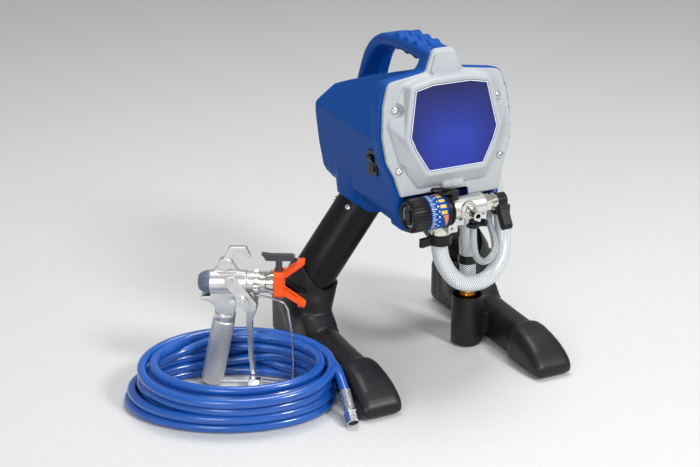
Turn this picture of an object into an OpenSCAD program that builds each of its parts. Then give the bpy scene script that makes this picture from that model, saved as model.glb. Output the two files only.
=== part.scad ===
// Airless paint sprayer: an electric piston pump on a splayed stand, its suction
// hose, drain tube and drip cup, a coiled airless hose and a spray gun.
// Millimetres. The stand faces -Y, +Z is up and the floor is z = 0.

/* [Stand] */
// Distance between the centre lines of the two foot bars
foot_span = 272; // [268:1:280]
// Width of a foot bar's arm
foot_w = 50; // [48:1:54]
// Length of a foot bar from heel to toe
foot_l = 323; // [318:1:330]
// Height of a foot bar's rear block
foot_h = 76; // [72:1:80]
// Outer diameter of a leg tube
leg_d = 64; // [60:1:65]
// Wall of a leg tube
leg_wall = 2.5; // [1.5:0.5:5]
// Lean of each leg tube from upright
leg_lean = 37; // [36:0.1:38]
// Depth of the leg socket's bore above its rim
socket_depth = 34; // [26:1:36]
// Outer diameter of the drip cup
cup_d = 46; // [42:1:48]
// Height of the drip cup
cup_h = 75; // [66:1:78]
// Wall of the drip cup
cup_wall = 2.2; // [1.5:0.1:3]
// Diameter of a rubber foot pad
pad_d = 24; // [16:1:30]

/* [Enclosure] */
// Width of the motor shroud
shroud_w = 150; // [146:1:154]
// Height of the handle's top above the floor
handle_top = 470; // [468:1:476]
// Width of the handle
handle_w = 44; // [40:1:48]
// Thickness of the grip
grip_t = 18; // [16:0.5:20]
// Lean of the front face back from upright
front_lean = 9; // [7:0.5:10]
// Wall of the enclosure
shell_wall = 3; // [2:0.5:4]
// Pitch of the vent slots
vent_pitch = 5.3; // [5:0.1:6]
// Height of one vent slot
vent_slot = 2.6; // [2:0.1:3]
// Overhang of the blue frame around the front cover
frame_lip = 5; // [3:0.5:7]
// Height of the front cover's raised dome
dome_h = 18; // [12:1:22]
// Diameter of a cover screw's head
cover_screw_d = 11; // [8:0.5:14]

/* [Pump] */
// Throw of the crank pin, half the piston's stroke
crank_throw = 8; // [6:0.5:8]
// Diameter of the piston rod
rod_d = 10; // [8:0.5:12]
// Diameter of the piston
piston_d = 16; // [14:0.5:18]
// Module of the reduction gears
gear_module = 1; // [0.98:0.01:1.01]
// Width of the reduction gears
gear_w = 10; // [8:0.5:10.5]
// Diameter of the motor can
motor_d = 82; // [70:1:86]
// Length of the motor can
motor_l = 130; // [110:1:132]
// Diameter of the pressure knob
knob_d = 47; // [42:1:48]
// Length of the ribbed part of the pressure knob
knob_l = 26; // [24:1:30]
// Width of the pressure scale's band
band_w = 27; // [22:1:28]
// Diameter of the manifold's cross tube
manifold_d = 31; // [28:1:33]
// Outer diameter of the outlet's thread
outlet_d = 13.2; // [12:0.1:14]
// Length of the prime lever's arm
lever_l = 42; // [36:1:46]

/* [Hoses] */
// Outer diameter of the suction hose
suction_d = 23.5; // [20:0.5:24]
// Outer diameter of the drain tube
drain_d = 9.5; // [8:0.5:10]
// Outer diameter of the airless hose
hose_d = 13.5; // [12:0.5:14]
// Length of the coil, across its long axis
coil_l = 296; // [290:1:298]
// Width of the coil, across its short axis
coil_w = 212; // [206:1:214]
// Height of the coil's stack of turns
coil_h = 60; // [54:1:67]
// Width of the coil's ring of turns
coil_ring = 30; // [26:1:32]
// Diameter of a hose end's crimped sleeve
sleeve_d = 17; // [15:0.5:19]
// Distance across the corners of a hose end's nut
hose_nut_d = 20; // [18:0.5:22]

/* [Gun] */
// Height of the gun's barrel axis above its handle's foot
barrel_h = 156; // [150:1:160]
// Diameter of the gun's cast barrel
barrel_d = 34; // [32:0.5:35]
// Diameter of the gun's handle
grip_d = 31; // [28:0.5:32]
// Lean of the gun's handle
grip_lean = 12; // [11:0.5:13]
// Diameter of the needle
needle_d = 4; // [3:0.5:6]
// Diameter of the spray tip's barrel
tip_d = 12; // [10:0.5:13]
// Diameter of the guard's wire
wire_d = 3.2; // [2.5:0.1:4]

/* [Hidden] */

$fn = 64;
slack = 0.05;                  // radial clearance of a running fit
gap = 0.3;                     // clearance between pieces that pass each other
eps = 1;                       // how far a cut runs past the face it opens

// Where the three groups stand
stand_at = [73.5, -1, 0];
gun_at = stand_at + [-306, 29.5, 0];
gun_turn = -28;
coil_at = stand_at + [-303, -25.5, 0];
coil_turn = -26;

// Stand
foot_x = foot_span / 2;
foot_rear = 150;
foot_front = foot_rear - foot_l;
foot_under = 4;                // the rubber pads lift the bars by this much
leg_r = leg_d / 2;
leg_y = 80;
leg_top = [31, leg_y, 236];    // centre of the right tube's upper end
boot_lip_z = 116;
boot_r = leg_r + 5;
boot_base_z = 66;
leg_seat_z = 88;               // the tube's lower end sits on the boot's floor
leg_l = (leg_top[2] - leg_seat_z) / cos(leg_lean);
cup_at = [83, -12, 3];
pad_rear_y = foot_rear - 35;
pad_front_y = foot_front + 24;

// Enclosure stations along Y
cover_y = -92;                 // front face of the cover's rim
frame_y = -85;                 // seam between cover and frame
partition_y = -62;             // rear face of the frame's partition
shroud_rear = 176;
lean_z = 340;                  // height at which the leaned front keeps its place
shoulder_z = 340;
rim_line = [[-90, 220], [-30, 200]];   // the leg sockets' lower edge, left side

// Cover outline, right half from the peak down, each [x, z, fillet]
cover_half = [[15, 475, 9], [28, 445, 6], [84.5, 437, 12], [94, 407, 10], [98, 366, 16],
              [94, 331.5, 10], [84, 311, 8], [74, 276, 8], [70, 257, 6]];
panel_half = [[28, 431.5, 0], [55, 426, 4], [67, 364, 6], [60, 346, 4], [42, 315, 6]];
dome_half = [[30, 442, 0], [64, 434, 8], [92, 383, 14], [78, 329.5, 9], [52, 291.5, 8]];
cover_wall = 3;
panel_margin = 5;
panel_recess = 1.6;
panel_t = 1.2;
cover_screw_x = 78;
cover_screw_z = [401, 319];
pocket_r = cover_screw_d / 2 + 4;

// Drive
pump_y = -72;
gear_teeth = 64;
pinion_teeth = 16;
gear_z = 355;
motor_z = gear_z - gear_module * (gear_teeth + pinion_teeth) / 2;
housing_back = -40;
housing_wall = 4;
housing_bottom = 284;
housing_top = 396;
housing_half = 44;
gear_y = housing_back - 6 - 3.7;       // rear face of both gears
axle_r = 5;
gear_web = 3;                  // the crank gear's front web, past its blind bore
shaft_r = 5;
crank_pin_r = 4;
yoke_t = 10;
yoke_half = 38;
window_w = 2 * (crank_throw + crank_pin_r) + 1;
window_h = 4 * crank_throw + 2 * crank_pin_r + 1.5;
yoke_h = window_h + 12;
yoke_z = gear_z - crank_throw;  // the yoke rests at the bottom of its stroke
rod_x = 30;
guide_r = 3;

// Pump front
valve_y = -112;
valve_z = 261;
manifold_left = -10;
manifold_right = 42;
collar_w = 11;
band_x = manifold_left - collar_w;     // right end of the scale band
knob_x = band_x - band_w - knob_l;     // outer face of the pressure knob
pump_floor = 222;
pump_top = 262;
cylinder_wall = 4;
cylinder_r = piston_d / 2 + cylinder_wall;
neck_r = 11;
outlet_x = 12;
outlet_front = valve_y - manifold_d / 2;
drain_x = 30;
stub_r = 11;                   // threaded stub that takes the wing nut
nut_top = 210.5;
nut_foot = 195.5;

// Routes of the hoses
suction_route = [[0, -72, 195.5], [0, -72, 189], [3, -75, 170], [13, -80, 150], [26, -84, 137], [45, -86, 131],
    [67, -84, 131], [86, -78, 139], [102, -70, 154], [111, -60, 173], [114, -52, 195],
    [114, -45, 218], [110, -40, 238], [107, -37, 258], [103, -34, 282], [98, -28, 302],
    [94, -14, 314], [91, 2, 308], [90, 8, 288], [89, 8, 262], [88, 4, 235], [85, -1, 205],
    [83, -5, 171], [83, -9, 136], [83, -12, 104], [83, -12, 96]];
drain_route = [[30, -112, 228], [30, -112, 221], [31, -112, 204], [36, -111, 184], [48, -107, 172],
    [64, -99, 169], [80, -88, 177], [91, -66, 187], [99, -40, 200], [107, -28, 218], [106, -14, 236],
    [106, 2, 240], [104, 11, 226], [102, 10, 196], [101, 7, 160], [99, 3, 127], [97, -1, 98]];
upper_clip = [[114, -45, 218], [107, -28, 218]];
lower_clip = [[83, -9, 134], [99, 3, 134]];
// The last stretch of a hose tail runs straight into its sleeve
function into_sleeve(p, a, d = 0) = [p - 5 * [cos(a) * cos(d), sin(a) * cos(d), -sin(d)], p];
outer_end = stand_at + [-178, -136.5, 34.8];
outer_turn = -99.6;
outer_pitch = 33.7;            // the outer end hangs from the coil's top to the floor
outer_tail_route = concat([for (p = [[-185, -65.5, 50], [-180, -78, 51], [-177.5, -91, 51], [-176.5, -106, 48],
                                     [-176.8, -120, 42.5]]) stand_at + p],
                          into_sleeve(outer_end, outer_turn, outer_pitch));
inner_end = stand_at + [-227.5, -42.5, 9];
inner_turn = 140;
inner_tail_route = concat([for (p = [[-190, -73.5, 9], [-201, -64.5, 9], [-212, -55.5, 9]]) stand_at + p],
                          into_sleeve(inner_end, inner_turn));
sleeve_l = 30;
hose_nut_l = 16;

// Gun stations along its own X
body_rear = 3;
body_front = 64;
guard_x = 91;
tip_x = 98;
trigger_pin = [32, barrel_h + 9];
lock_pin = [50, barrel_h - 22];
wire_top = barrel_h - 20;                // height of the wire guard's upper end
wire_z = 3.2;                  // height of its run to the handle's foot
handle_l = barrel_h - 45;
foot_lift = 3.3;               // the leaning handle stands on its foot's edge
neck_half = 12;                // half the width of the cast neck
ear_t = 2.6;                   // thickness of the trigger's ears
inlet_depth = 10;              // depth of the hose thread in the handle's foot

// ---- geometry helpers ----

function unit(v) = v / norm(v);
function flat(p) = [p[0], p[1]];
function total(rows) = [for (r = rows) 1] * rows;

// One rounded corner q between its neighbours a and b, in n steps
function corner(a, q, b, n) =
    q[2] == 0 ? [flat(q)] :
    let (u = unit(flat(a) - flat(q)), v = unit(flat(b) - flat(q)),
         half = acos(u * v) / 2,
         c = flat(q) + unit(u + v) * q[2] / sin(half),
         s = flat(q) + u * q[2] / tan(half) - c,
         e = flat(q) + v * q[2] / tan(half) - c,
         turn = atan2(e[1], e[0]) - atan2(s[1], s[0]),
         sweep = turn > 180 ? turn - 360 : turn < -180 ? turn + 360 : turn)
    [for (i = [0 : n]) c + q[2] * [cos(atan2(s[1], s[0]) + sweep * i / n),
                                   sin(atan2(s[1], s[0]) + sweep * i / n)]];

// An outline of [x, y, fillet] points with its corners rounded
function rounded(pts, n = 5) =
    [for (i = [0 : len(pts) - 1])
        each corner(pts[(i + len(pts) - 1) % len(pts)], pts[i], pts[(i + 1) % len(pts)], n)];

// The same outline moved outwards by d; the points run clockwise
function grown(pts, d) =
    [for (i = [0 : len(pts) - 1])
        let (u = unit(flat(pts[i]) - flat(pts[(i + len(pts) - 1) % len(pts)])),
             v = unit(flat(pts[(i + 1) % len(pts)]) - flat(pts[i])),
             m = [-u[1], u[0]], w = [-v[1], v[0]],
             q = flat(pts[i]) + (m + w) * d / (1 + m * w))
        [q[0], q[1], pts[i][2] == 0 ? 0 : max(pts[i][2] + d / 2, 1)]];

// A full outline from its right half, which runs from the top down: clockwise
function both_sides(half) =
    concat(half, [for (i = [len(half) - 1 : -1 : 0]) [-half[i][0], half[i][1], half[i][2]]]);

// A rectangle w by h about the origin with one fillet
function box_outline(w, h, r) = [[w / 2, -h / 2, r], [w / 2, h / 2, r], [-w / 2, h / 2, r], [-w / 2, -h / 2, r]];

function ring_normal(r) = total([for (i = [0 : len(r) - 1]) cross(r[i], r[(i + 1) % len(r)])]);
function middle(r) = total(r) / len(r);

// A solid skinned over rings that all have the same number of points
module loft(rings) {
    n = len(rings[0]);
    last = len(rings) - 1;
    forward = ring_normal([for (p = rings[0]) p - middle(rings[0])])
              * (middle(rings[1]) - middle(rings[0])) > 0;
    points = [for (ring = rings) each forward ? ring : [for (i = [n - 1 : -1 : 0]) ring[i]]];
    sides = [for (j = [0 : last - 1], i = [0 : n - 1]) each
        let (a = j * n + i, b = j * n + (i + 1) % n, c = a + n, d = b + n)
        [[a, c, d], [a, d, b]]];
    polyhedron(points, concat(sides, [[for (i = [0 : n - 1]) i]],
                              [[for (i = [n - 1 : -1 : 0]) last * n + i]]), convexity = 8);
}

// Rings of an x-z outline placed at stations along Y
function at_y(outline, y) = [for (p = outline) [p[0], y, p[1]]];

// An outline swept along a path in the Y-Z plane; each station is [y, z, slope, outline]
function station(s) = [for (p = s[3]) [p[0], s[0] - p[1] * sin(s[2]), s[1] + p[1] * cos(s[2])]];

function headings(p) = [for (i = [0 : len(p) - 1]) unit(p[min(i + 1, len(p) - 1)] - p[max(i - 1, 0)])];
function carried(t, u, i = 0) = i >= len(t) ? [] :
    let (v = unit(u - (u * t[i]) * t[i])) concat([v], carried(t, v, i + 1));

// A round tube of radius r along points in space
module tube(route, r, sides = 12, start = [1, 0, 0]) {
    t = headings(route);
    u = carried(t, start);
    loft([for (i = [0 : len(route) - 1])
        [for (k = [0 : sides - 1])
            route[i] + r * (cos(360 * k / sides) * u[i] + sin(360 * k / sides) * cross(t[i], u[i]))]]);
}

// Extrudes an x-z outline from y0 to y1
module across(outline, y0, y1) {
    translate([0, y1, 0]) rotate([90, 0, 0]) linear_extrude(y1 - y0) polygon(outline);
}

// Extrudes a y-z outline over a width centred on X
module side_wise(outline, w) {
    rotate([90, 0, 90]) translate([0, 0, -w / 2]) linear_extrude(w) polygon(outline);
}

module x_rod(r, x0, x1) { translate([x0, 0, 0]) rotate([0, 90, 0]) cylinder(r = r, h = x1 - x0); }
module y_rod(r, y0, y1) { translate([0, y1, 0]) rotate([90, 0, 0]) cylinder(r = r, h = y1 - y0); }

module on_stand() { translate(stand_at) children(); }
module on_gun() { translate(gun_at) rotate([0, 0, gun_turn]) children(); }
module each_side() { for (s = [0, 1]) mirror([s, 0, 0]) children(); }
// Leans the front pieces back about a line across the frame's seam
module leaned() {
    translate([0, frame_y, lean_z]) rotate([-front_lean, 0, 0]) translate([0, -frame_y, -lean_z]) children();
}
function lean_y(y, z) = y + (z - lean_z) * tan(front_lean);
module mirrored(side) { mirror([side < 0 ? 1 : 0, 0, 0]) children(); }

// Puts a piece on the right leg's axis, which points up the tube from its upper end
module on_leg() { translate(leg_top) rotate([0, -leg_lean, 0]) children(); }

// ---- stand ----

// One foot bar's cross-section: w wide, from z0 to z1, with a rounder top
function bar_ring(y, w, z0, z1, top) =
    at_y(rounded([[foot_x + w / 2, z0, 4], [foot_x + w / 2, z1, top],
                  [foot_x - w / 2, z1, top], [foot_x - w / 2, z0, 4]], 4), y);

module foot_bar() {
    arm_h = foot_h - 23;
    toe_w = foot_w + 12;
    loft([
        bar_ring(foot_rear, foot_w - 6, foot_under + 8, foot_h - 14, 8),
        bar_ring(foot_rear - 3, foot_w + 1, foot_under + 2, foot_h - 6, 9),
        bar_ring(foot_rear - 10, foot_w + 4, foot_under, foot_h - 2, 10),
        bar_ring(foot_rear - 60, foot_w + 4, foot_under, foot_h, 10),
        bar_ring(44, foot_w + 4, foot_under, foot_h - 3, 12),
        bar_ring(30, foot_w + 2, foot_under, foot_h - 10, 16),
        bar_ring(15, foot_w, foot_under, arm_h + 1, 21),
        bar_ring(-40, foot_w - 1, foot_under, arm_h, 22),
        bar_ring(foot_front + 90, foot_w - 1, foot_under, arm_h - 1, 21),
        bar_ring(foot_front + 85, toe_w - 4, foot_under, arm_h + 1, 19),
        bar_ring(foot_front + 72, toe_w, foot_under, arm_h, 19),
        bar_ring(foot_front + 52, toe_w, foot_under, arm_h - 4, 18),
        bar_ring(foot_front + 34, toe_w, foot_under, arm_h - 10, 16),
        bar_ring(foot_front + 20, toe_w - 1, foot_under, arm_h - 17, 14),
        bar_ring(foot_front + 10, toe_w - 3, foot_under, arm_h - 25, 10),
        bar_ring(foot_front + 4, toe_w - 6, foot_under, arm_h - 31, 7),
        bar_ring(foot_front + 1, toe_w - 9, foot_under + 1.5, arm_h - 36, 5),
        bar_ring(foot_front, toe_w - 12, foot_under + 3.5, arm_h - 40, 3)
    ]);
}

// The boot that rises from the bar around the leg tube, as level oval rings
function boot_ring(z, rx, ry, shift = 0) =
    [for (a = [0 : 10 : 350])
        [leg_top[0] + (leg_top[2] - z) * tan(leg_lean) + shift + rx * cos(a), leg_y + ry * sin(a), z]];

module boot() {
    loft([
        boot_ring(foot_under + 10, 25, 36, -62),
        boot_ring(38, 32, 42, -46),
        boot_ring(boot_base_z, 38, 46, -22),
        boot_ring(84, 41, 43, -11.5),
        boot_ring(boot_lip_z - 16, boot_r / cos(leg_lean) - 1, boot_r - 1, -1)
    ]);
}

// The flared lip, which dips at the front and back of the tube
module boot_lip() {
    lip_s = (boot_lip_z - leg_top[2]) / cos(leg_lean);
    on_leg() difference() {
        translate([0, 0, lip_s - 28]) cylinder(r1 = boot_r - 1, r2 = boot_r + 2, h = 36);
        translate([0, 0, lip_s + 33]) rotate([90, 0, 0]) cylinder(r = 46, h = 120, center = true);
    }
}

module foot() {
    rib_pitch = 18;
    color("#242426") {
        difference() {
            union() {
                foot_bar();
                boot();
                boot_lip();
            }
            on_leg() translate([0, 0, -leg_l]) cylinder(r = leg_r + slack, h = leg_l);
        }
        // shallow ribs on the inner face of the rear block
        for (i = [0 : 4])
            translate([foot_x - foot_w / 2 - 3, foot_rear - 14 - i * rib_pitch, foot_under + 8])
                cube([2, 2, foot_h - 28]);
        translate([foot_x - foot_w / 2 - 3, foot_rear - 14 - 4 * rib_pitch, foot_h / 2])
            cube([2, 4 * rib_pitch, 2]);
    }
}

module left_foot() { on_stand() mirrored(-1) foot(); }
module right_foot() { on_stand() foot(); }

module leg() {
    color("#1f1f21") on_leg() translate([0, 0, -leg_l]) difference() {
        cylinder(r = leg_r, h = leg_l);
        translate([0, 0, -eps]) cylinder(r = leg_r - leg_wall, h = leg_l + 2 * eps);
    }
}

module left_leg() { on_stand() mirrored(-1) leg(); }
module right_leg() { on_stand() leg(); }

module foot_pads() {
    color("#151515") on_stand() each_side() {
        for (y = [pad_rear_y, pad_front_y])
            translate([foot_x, y, 0]) cylinder(d = pad_d, h = foot_under);
    }
}

module drip_cup() {
    bracket_w = 34;
    reach = foot_x - foot_w / 2 - cup_at[0];
    color("#202022") on_stand() translate(cup_at) difference() {
        union() {
            cylinder(d = cup_d, h = cup_h);
            translate([0, -bracket_w / 2, 14]) cube([reach, bracket_w, 30]);
            for (s = [-1, 1])
                translate([0, s * (bracket_w / 2 - 3) - 1.5, 8]) cube([reach - 6, 3, 50]);
        }
        translate([0, 0, cup_wall]) cylinder(d = cup_d - 2 * cup_wall, h = cup_h);
    }
}

module leg_screws() {
    color("#c9ccd0") on_stand() each_side() on_leg()
        for (a = [-38, 38])
            rotate([0, 0, a]) translate([leg_r + 0.02, 0, -44]) rotate([0, 90, 0]) {
                cylinder(r = 3.6, h = 1.6);
                cylinder(r = 2.4, h = 2.6);
            }
}

// ---- enclosure ----

side_outline = [[lean_y(partition_y - 3, 232), 232, 0], [20, 236, 10], [92, 241, 14], [126, 240, 12],
                [148, 252, 14], [163, 284, 20], [shroud_rear - 2, 322, 14], [shroud_rear, 344, 9],
                [150, 374, 12], [118, 387, 14], [20, 421, 30], [lean_y(partition_y - 3, 440), 440, 0]];
function front_outline(grow) =
    let (w = shroud_w / 2 + grow)
    [[-w + 14, 226 - grow, 12], [-w, 250, 14], [-w, shoulder_z, 8], [-w + 10, shoulder_z + 18 + grow, 8],
     [-24, 426 + grow, 16], [24, 426 + grow, 16], [w - 10, shoulder_z + 18 + grow, 8],
     [w, shoulder_z, 8], [w, 250, 14], [w - 14, 226 - grow, 12]];

// The shroud's outer body, or its cavity when shrunk by the wall
module shroud(shrink = 0) {
    intersection() {
        side_wise(rounded(grown(reversed(side_outline), -shrink)), shroud_w + 10);
        across(rounded(front_outline(-shrink)), frame_y - 15, shroud_rear + 5);
    }
}
function reversed(pts) = [for (i = [len(pts) - 1 : -1 : 0]) pts[i]];

cover_outline = both_sides(cover_half);
// The frame follows the cover but stays just below its peak
frame_drop = frame_lip + cover_half[0][1] - handle_top - 1;
frame_half = [for (i = [0 : len(cover_half) - 1])
    cover_half[i] - [0, i < 2 ? frame_drop - i * 6 : i == 2 ? 3 : 0, 0]];
function frame_outline(d) = rounded(grown(both_sides(frame_half), d));

// The shallow frame around the cover, stepped in towards its rear edge
module front_frame() {
    leaned() {
        across(frame_outline(frame_lip), frame_y, partition_y - 3);
        across(frame_outline(frame_lip - 4), partition_y - 4, partition_y + 3);
        across(frame_outline(frame_lip - 12), partition_y, partition_y + 9);
    }
    // the lobe behind the pressure knob
    across(rounded([[-72, 290, 0], [-70, 232, 6], [-56, 224, 6], [-20, 232, 8], [-14, 290, 0]]),
           frame_y + 1, partition_y + 4);
}

// The grip sweeps back from the frame and down to the roof
grip_z = handle_top - grip_t / 2;
handle_path = [[-60, 0, 0], [-30, 0, 0], [4, 0, 0], [36, -1, -4], [60, -4, -13], [77, -8.5, -27], [92, -16, -35],
               [104, -25, -43], [116, -38, -57], [125, -54, -63], [133, -71, -64], [142, -90, -63], [150, -106, -62]];
module grip(shrink = 0) {
    w = handle_w - 2 * shrink;
    t = grip_t - 2 * shrink;
    loft([for (p = handle_path)
        station([p[0], grip_z + p[1], p[2], rounded(box_outline(w, t, 7 - shrink), 4)])]);
}

// The post behind the frame that carries the front of the grip
module grip_post() {
    side_wise(rounded([[frame_y + 10, 400, 0], [frame_y + 19, grip_z, 0], [-42, grip_z, 0], [-42, grip_z - 9, 3],
                       [-27, 436, 8], [24, 419, 8], [36, 400, 0]]), handle_w - 2);
}

module finger_scallops() {
    for (y = [-24, 2, 28])
        translate([-handle_w / 2 + 4, y, grip_z + 1]) rotate([0, 90, 0]) cylinder(r = 12, h = handle_w - 8);
}

// One leg socket: a hull from the side wall down to its round rim
module socket() {
    hull() {
        on_leg() translate([0, 0, -socket_depth]) cylinder(r = leg_r + 3.5, h = socket_depth + 2, $fn = 36);
        translate([34, leg_y - 36, 258]) cube([shroud_w / 2 - 35, 66, 26]);
    }
}

module below_rims() {
    slope = (rim_line[1][1] - rim_line[0][1]) / (rim_line[1][0] - rim_line[0][0]);
    low = rim_line[1][1] + slope * 16;
    across([[-130, rim_line[0][1] - slope * 40], [-4, low], [4, low], [130, rim_line[0][1] - slope * 40],
            [130, 140], [-130, 140]], leg_y - 60, leg_y + 60);
}

module vents() {
    for (i = [0 : 8]) {
        z = 286 + i * vent_pitch;
        each_side() {
            translate([10, 128 + i * 3, z]) cube([34, 60, vent_slot]);
            translate([shroud_w / 2 - 8, 112 + i * 2, z]) cube([20, 36, vent_slot]);
        }
    }
}

module switch_place() { translate([-shroud_w / 2, -14, 307]) rotate([-10, 0, 0]) children(); }

module enclosure() {
    difference() {
        union() {
            front_frame();
            shroud();
            grip();
            grip_post();
            finger_scallops();
            difference() {
                each_side() socket();
                below_rims();
            }
        }
        // cavity of the shroud, the frame's tray and the passage between them
        shroud(shell_wall);
        leaned() difference() {
            across(frame_outline(-cover_wall - 3), frame_y - eps, partition_y - 3);
            across(rounded([[-30, 500, 0], [30, 500, 0], [30, 441, 4], [-30, 441, 4]]), frame_y - 2, partition_y);
            screw_posts();
        }
        across(rounded(box_outline_at(2 * housing_half + 4, housing_bottom - 12, housing_top + 3, 10)),
               partition_y - 18, partition_y + 30);
        // mouth for the pump's block and neck, and the bay around the knob and the manifold
        across(rounded(box_outline_at(2 * (cylinder_r + 12), 190, 290, 4)), frame_y - 24, pump_y + cylinder_r + 8);
        pump_bay();
        each_side() on_leg() translate([0, 0, -socket_depth - 60])
            cylinder(r = leg_r + slack, h = socket_depth + 60);
        vents();
        switch_place() cube([14, 21, 29], center = true);
        leaned() each_side() for (z = cover_screw_z)
            translate([cover_screw_x, 0, z]) y_rod(2.1, frame_y - eps, frame_y + 16);
        translate([shroud_w / 2, 118, 276]) x_rod(7 + slack, -8, 4);
    }
}
function box_outline_at(w, z0, z1, r) = [[w / 2, z0, r], [w / 2, z1, r], [-w / 2, z1, r], [-w / 2, z0, r]];

module pump_bay() {
    translate([0, valve_y, valve_z]) {
        x_rod(knob_d / 2 + 2.5, knob_x - 4, 26);
        x_rod(manifold_d / 2 + 1, 20, 110);
    }
}

module screw_posts() {
    each_side() for (z = cover_screw_z)
        translate([cover_screw_x, 0, z]) y_rod(6.5, frame_y, partition_y);
}

module enclosure_half(side) {
    color("#16488f") on_stand() intersection() {
        enclosure();
        translate([side > 0 ? 0 : -200, -200, 100]) cube([200, 500, 500]);
    }
}
module left_enclosure() { enclosure_half(-1); }
module right_enclosure() { enclosure_half(1); }

// ---- front cover ----

dome_outline = both_sides(dome_half);
panel_outline = both_sides(panel_half);
dome_front = cover_y - dome_h;

module dome(shrink = 0) {
    loft([
        at_y(rounded(grown(dome_outline, -shrink), 4), cover_y + 2 + shrink),
        at_y(rounded(grown(dome_outline, -1 - shrink), 4), cover_y - 3 + shrink),
        at_y(rounded(grown(panel_outline, panel_margin + 2 - shrink), 4), dome_front + 2 + shrink),
        at_y(rounded(grown(panel_outline, panel_margin - shrink), 4), dome_front + shrink)
    ]);
}

// Walls around the screw pockets, kept where the dome is hollow
module pocket_walls() {
    each_side() for (z = cover_screw_z)
        translate([cover_screw_x, 0, z]) y_rod(pocket_r + 2.5, dome_front, cover_y + cover_wall);
}

module front_cover() {
    color("#b4b8bb") on_stand() difference() {
        leaned() difference() {
            union() {
                across(rounded(cover_outline), cover_y, frame_y);
                dome();
                // small block with three round bumps under the dome
                across(rounded(box_outline_at(32, 287, 300, 2)), cover_y - 7, cover_y);
                for (x = [-10, 0, 10]) translate([x, 0, 293.5]) y_rod(4, cover_y - 8, cover_y - 6);
                across(rounded([[-13, 471, 6], [13, 471, 6], [24, 443, 4], [-24, 443, 4]]), cover_y - 4, cover_y);
            }
            // hollow behind the rim and the dome
            across(rounded(grown(cover_outline, -cover_wall)), cover_y + cover_wall, frame_y + eps);
            difference() {
                dome(cover_wall);
                pocket_walls();
            }
            // seat of the name panel
            across(rounded(panel_outline), dome_front - eps, dome_front + panel_recess);
            // screw pockets, open towards the sides
            each_side() for (z = cover_screw_z) {
                translate([cover_screw_x, 0, z]) y_rod(pocket_r, dome_front - 2, cover_y);
                translate([cover_screw_x, dome_front - 2, z - pocket_r]) cube([30, dome_h + 2, 2 * pocket_r]);
                translate([cover_screw_x, 0, z]) y_rod(2.6, cover_y - eps, frame_y + eps);
            }
            // notch that clears the pressure knob and the pump's neck
            across(rounded([[-80, 240, 0], [-80, 283, 0], [26, 283, 5], [26, 240, 0]]), cover_y - eps, frame_y + eps);
        }
        pump_bay();
    }
}

module name_panel() {
    color("#1d2f93") on_stand() leaned()
        across(rounded(grown(panel_outline, -gap)), dome_front + panel_recess - panel_t, dome_front + panel_recess);
}

module cover_screws() {
    color("#d4d6d9") on_stand() leaned() each_side() for (z = cover_screw_z) translate([cover_screw_x, 0, z])
        difference() {
            union() {
                translate([0, cover_y, 0]) rotate([90, 0, 0]) rotate_extrude()
                    polygon([[0, 0], [cover_screw_d / 2, 0], [cover_screw_d / 2, 1], [cover_screw_d / 2 - 1, 2.6],
                             [cover_screw_d / 2 - 3, 3.6], [0, 3.9]]);
                y_rod(2, cover_y, frame_y + 14);
            }
            for (a = [20, 110]) translate([0, cover_y - 3.4, 0]) rotate([0, a, 0])
                cube([6, 2.4, 1.2], center = true);
        }
}

// ---- switch and cord inlet ----

module switch_bezel() {
    color("#161617") on_stand() switch_place() difference() {
        union() {
            translate([-1.1, 0, 0]) cube([2, 26, 35], center = true);
            translate([2.4, 0, 0]) cube([9, 20.6, 28.6], center = true);
        }
        translate([1, 0, 0]) cube([14, 16, 24], center = true);
        translate([1.5, 0, 0]) y_rod(1.5 + slack, -11, 11);
    }
}

module switch_rocker() {
    color("#262628") on_stand() switch_place() translate([1.5, 0, 0]) rotate([0, -6, 0]) {
        across(rounded([[3, -7, 1], [-4.5, -11, 1], [-6.5, -10, 1], [-4.2, 0, 0], [-8.5, 8, 1.5], [-6, 11, 1], [3, 7, 1]]),
               -7.6, 7.6);
        y_rod(1.5, -9.8, 9.8);
    }
}

module cord_gland() {
    color("#1b1b1c") on_stand() translate([shroud_w / 2, 118, 276]) difference() {
        union() {
            x_rod(7, -7, 0.5);
            x_rod(9, 0, 3);
            x_rod(6, 0, 16);
            for (i = [0 : 3]) translate([4.5 + i * 3, 0, 0]) x_rod(6.8, 0, 1.4);
        }
        x_rod(3.6, -8, 17);
    }
}

// ---- drive ----

// A gear's outline: n teeth of module m with involute flanks
function flank(rb, r) = let (t = sqrt(max(r * r / (rb * rb) - 1, 0)) * 180 / PI) t - atan(t * PI / 180);
function gear_outline(m, n, play = 0.14) =
    let (rp = m * n / 2, rb = rp * cos(20), tip = rp + 0.92 * m, root = rp - 1.25 * m,
         half = 90 / n - play / rp * 28.65 + flank(rb, rp), low = max(rb, root + 0.1),
         foot = min(half - flank(rb, low) + 0.3, 180 / n - 0.1),
         radii = [low, rp - 0.45 * m, rp, rp + 0.5 * m, tip])
    [for (k = [0 : n - 1]) each
        let (a = 360 * k / n)
        concat([[root, a - foot]],
               [for (r = radii) [r, a - half + flank(rb, r)]],
               [for (i = [4 : -1 : 0]) [radii[i], a + half - flank(rb, radii[i])]],
               [[root, a + foot]])];
module gear(m, n, w) {
    linear_extrude(w) polygon([for (p = gear_outline(m, n)) p[0] * [cos(p[1]), sin(p[1])]]);
}

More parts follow.
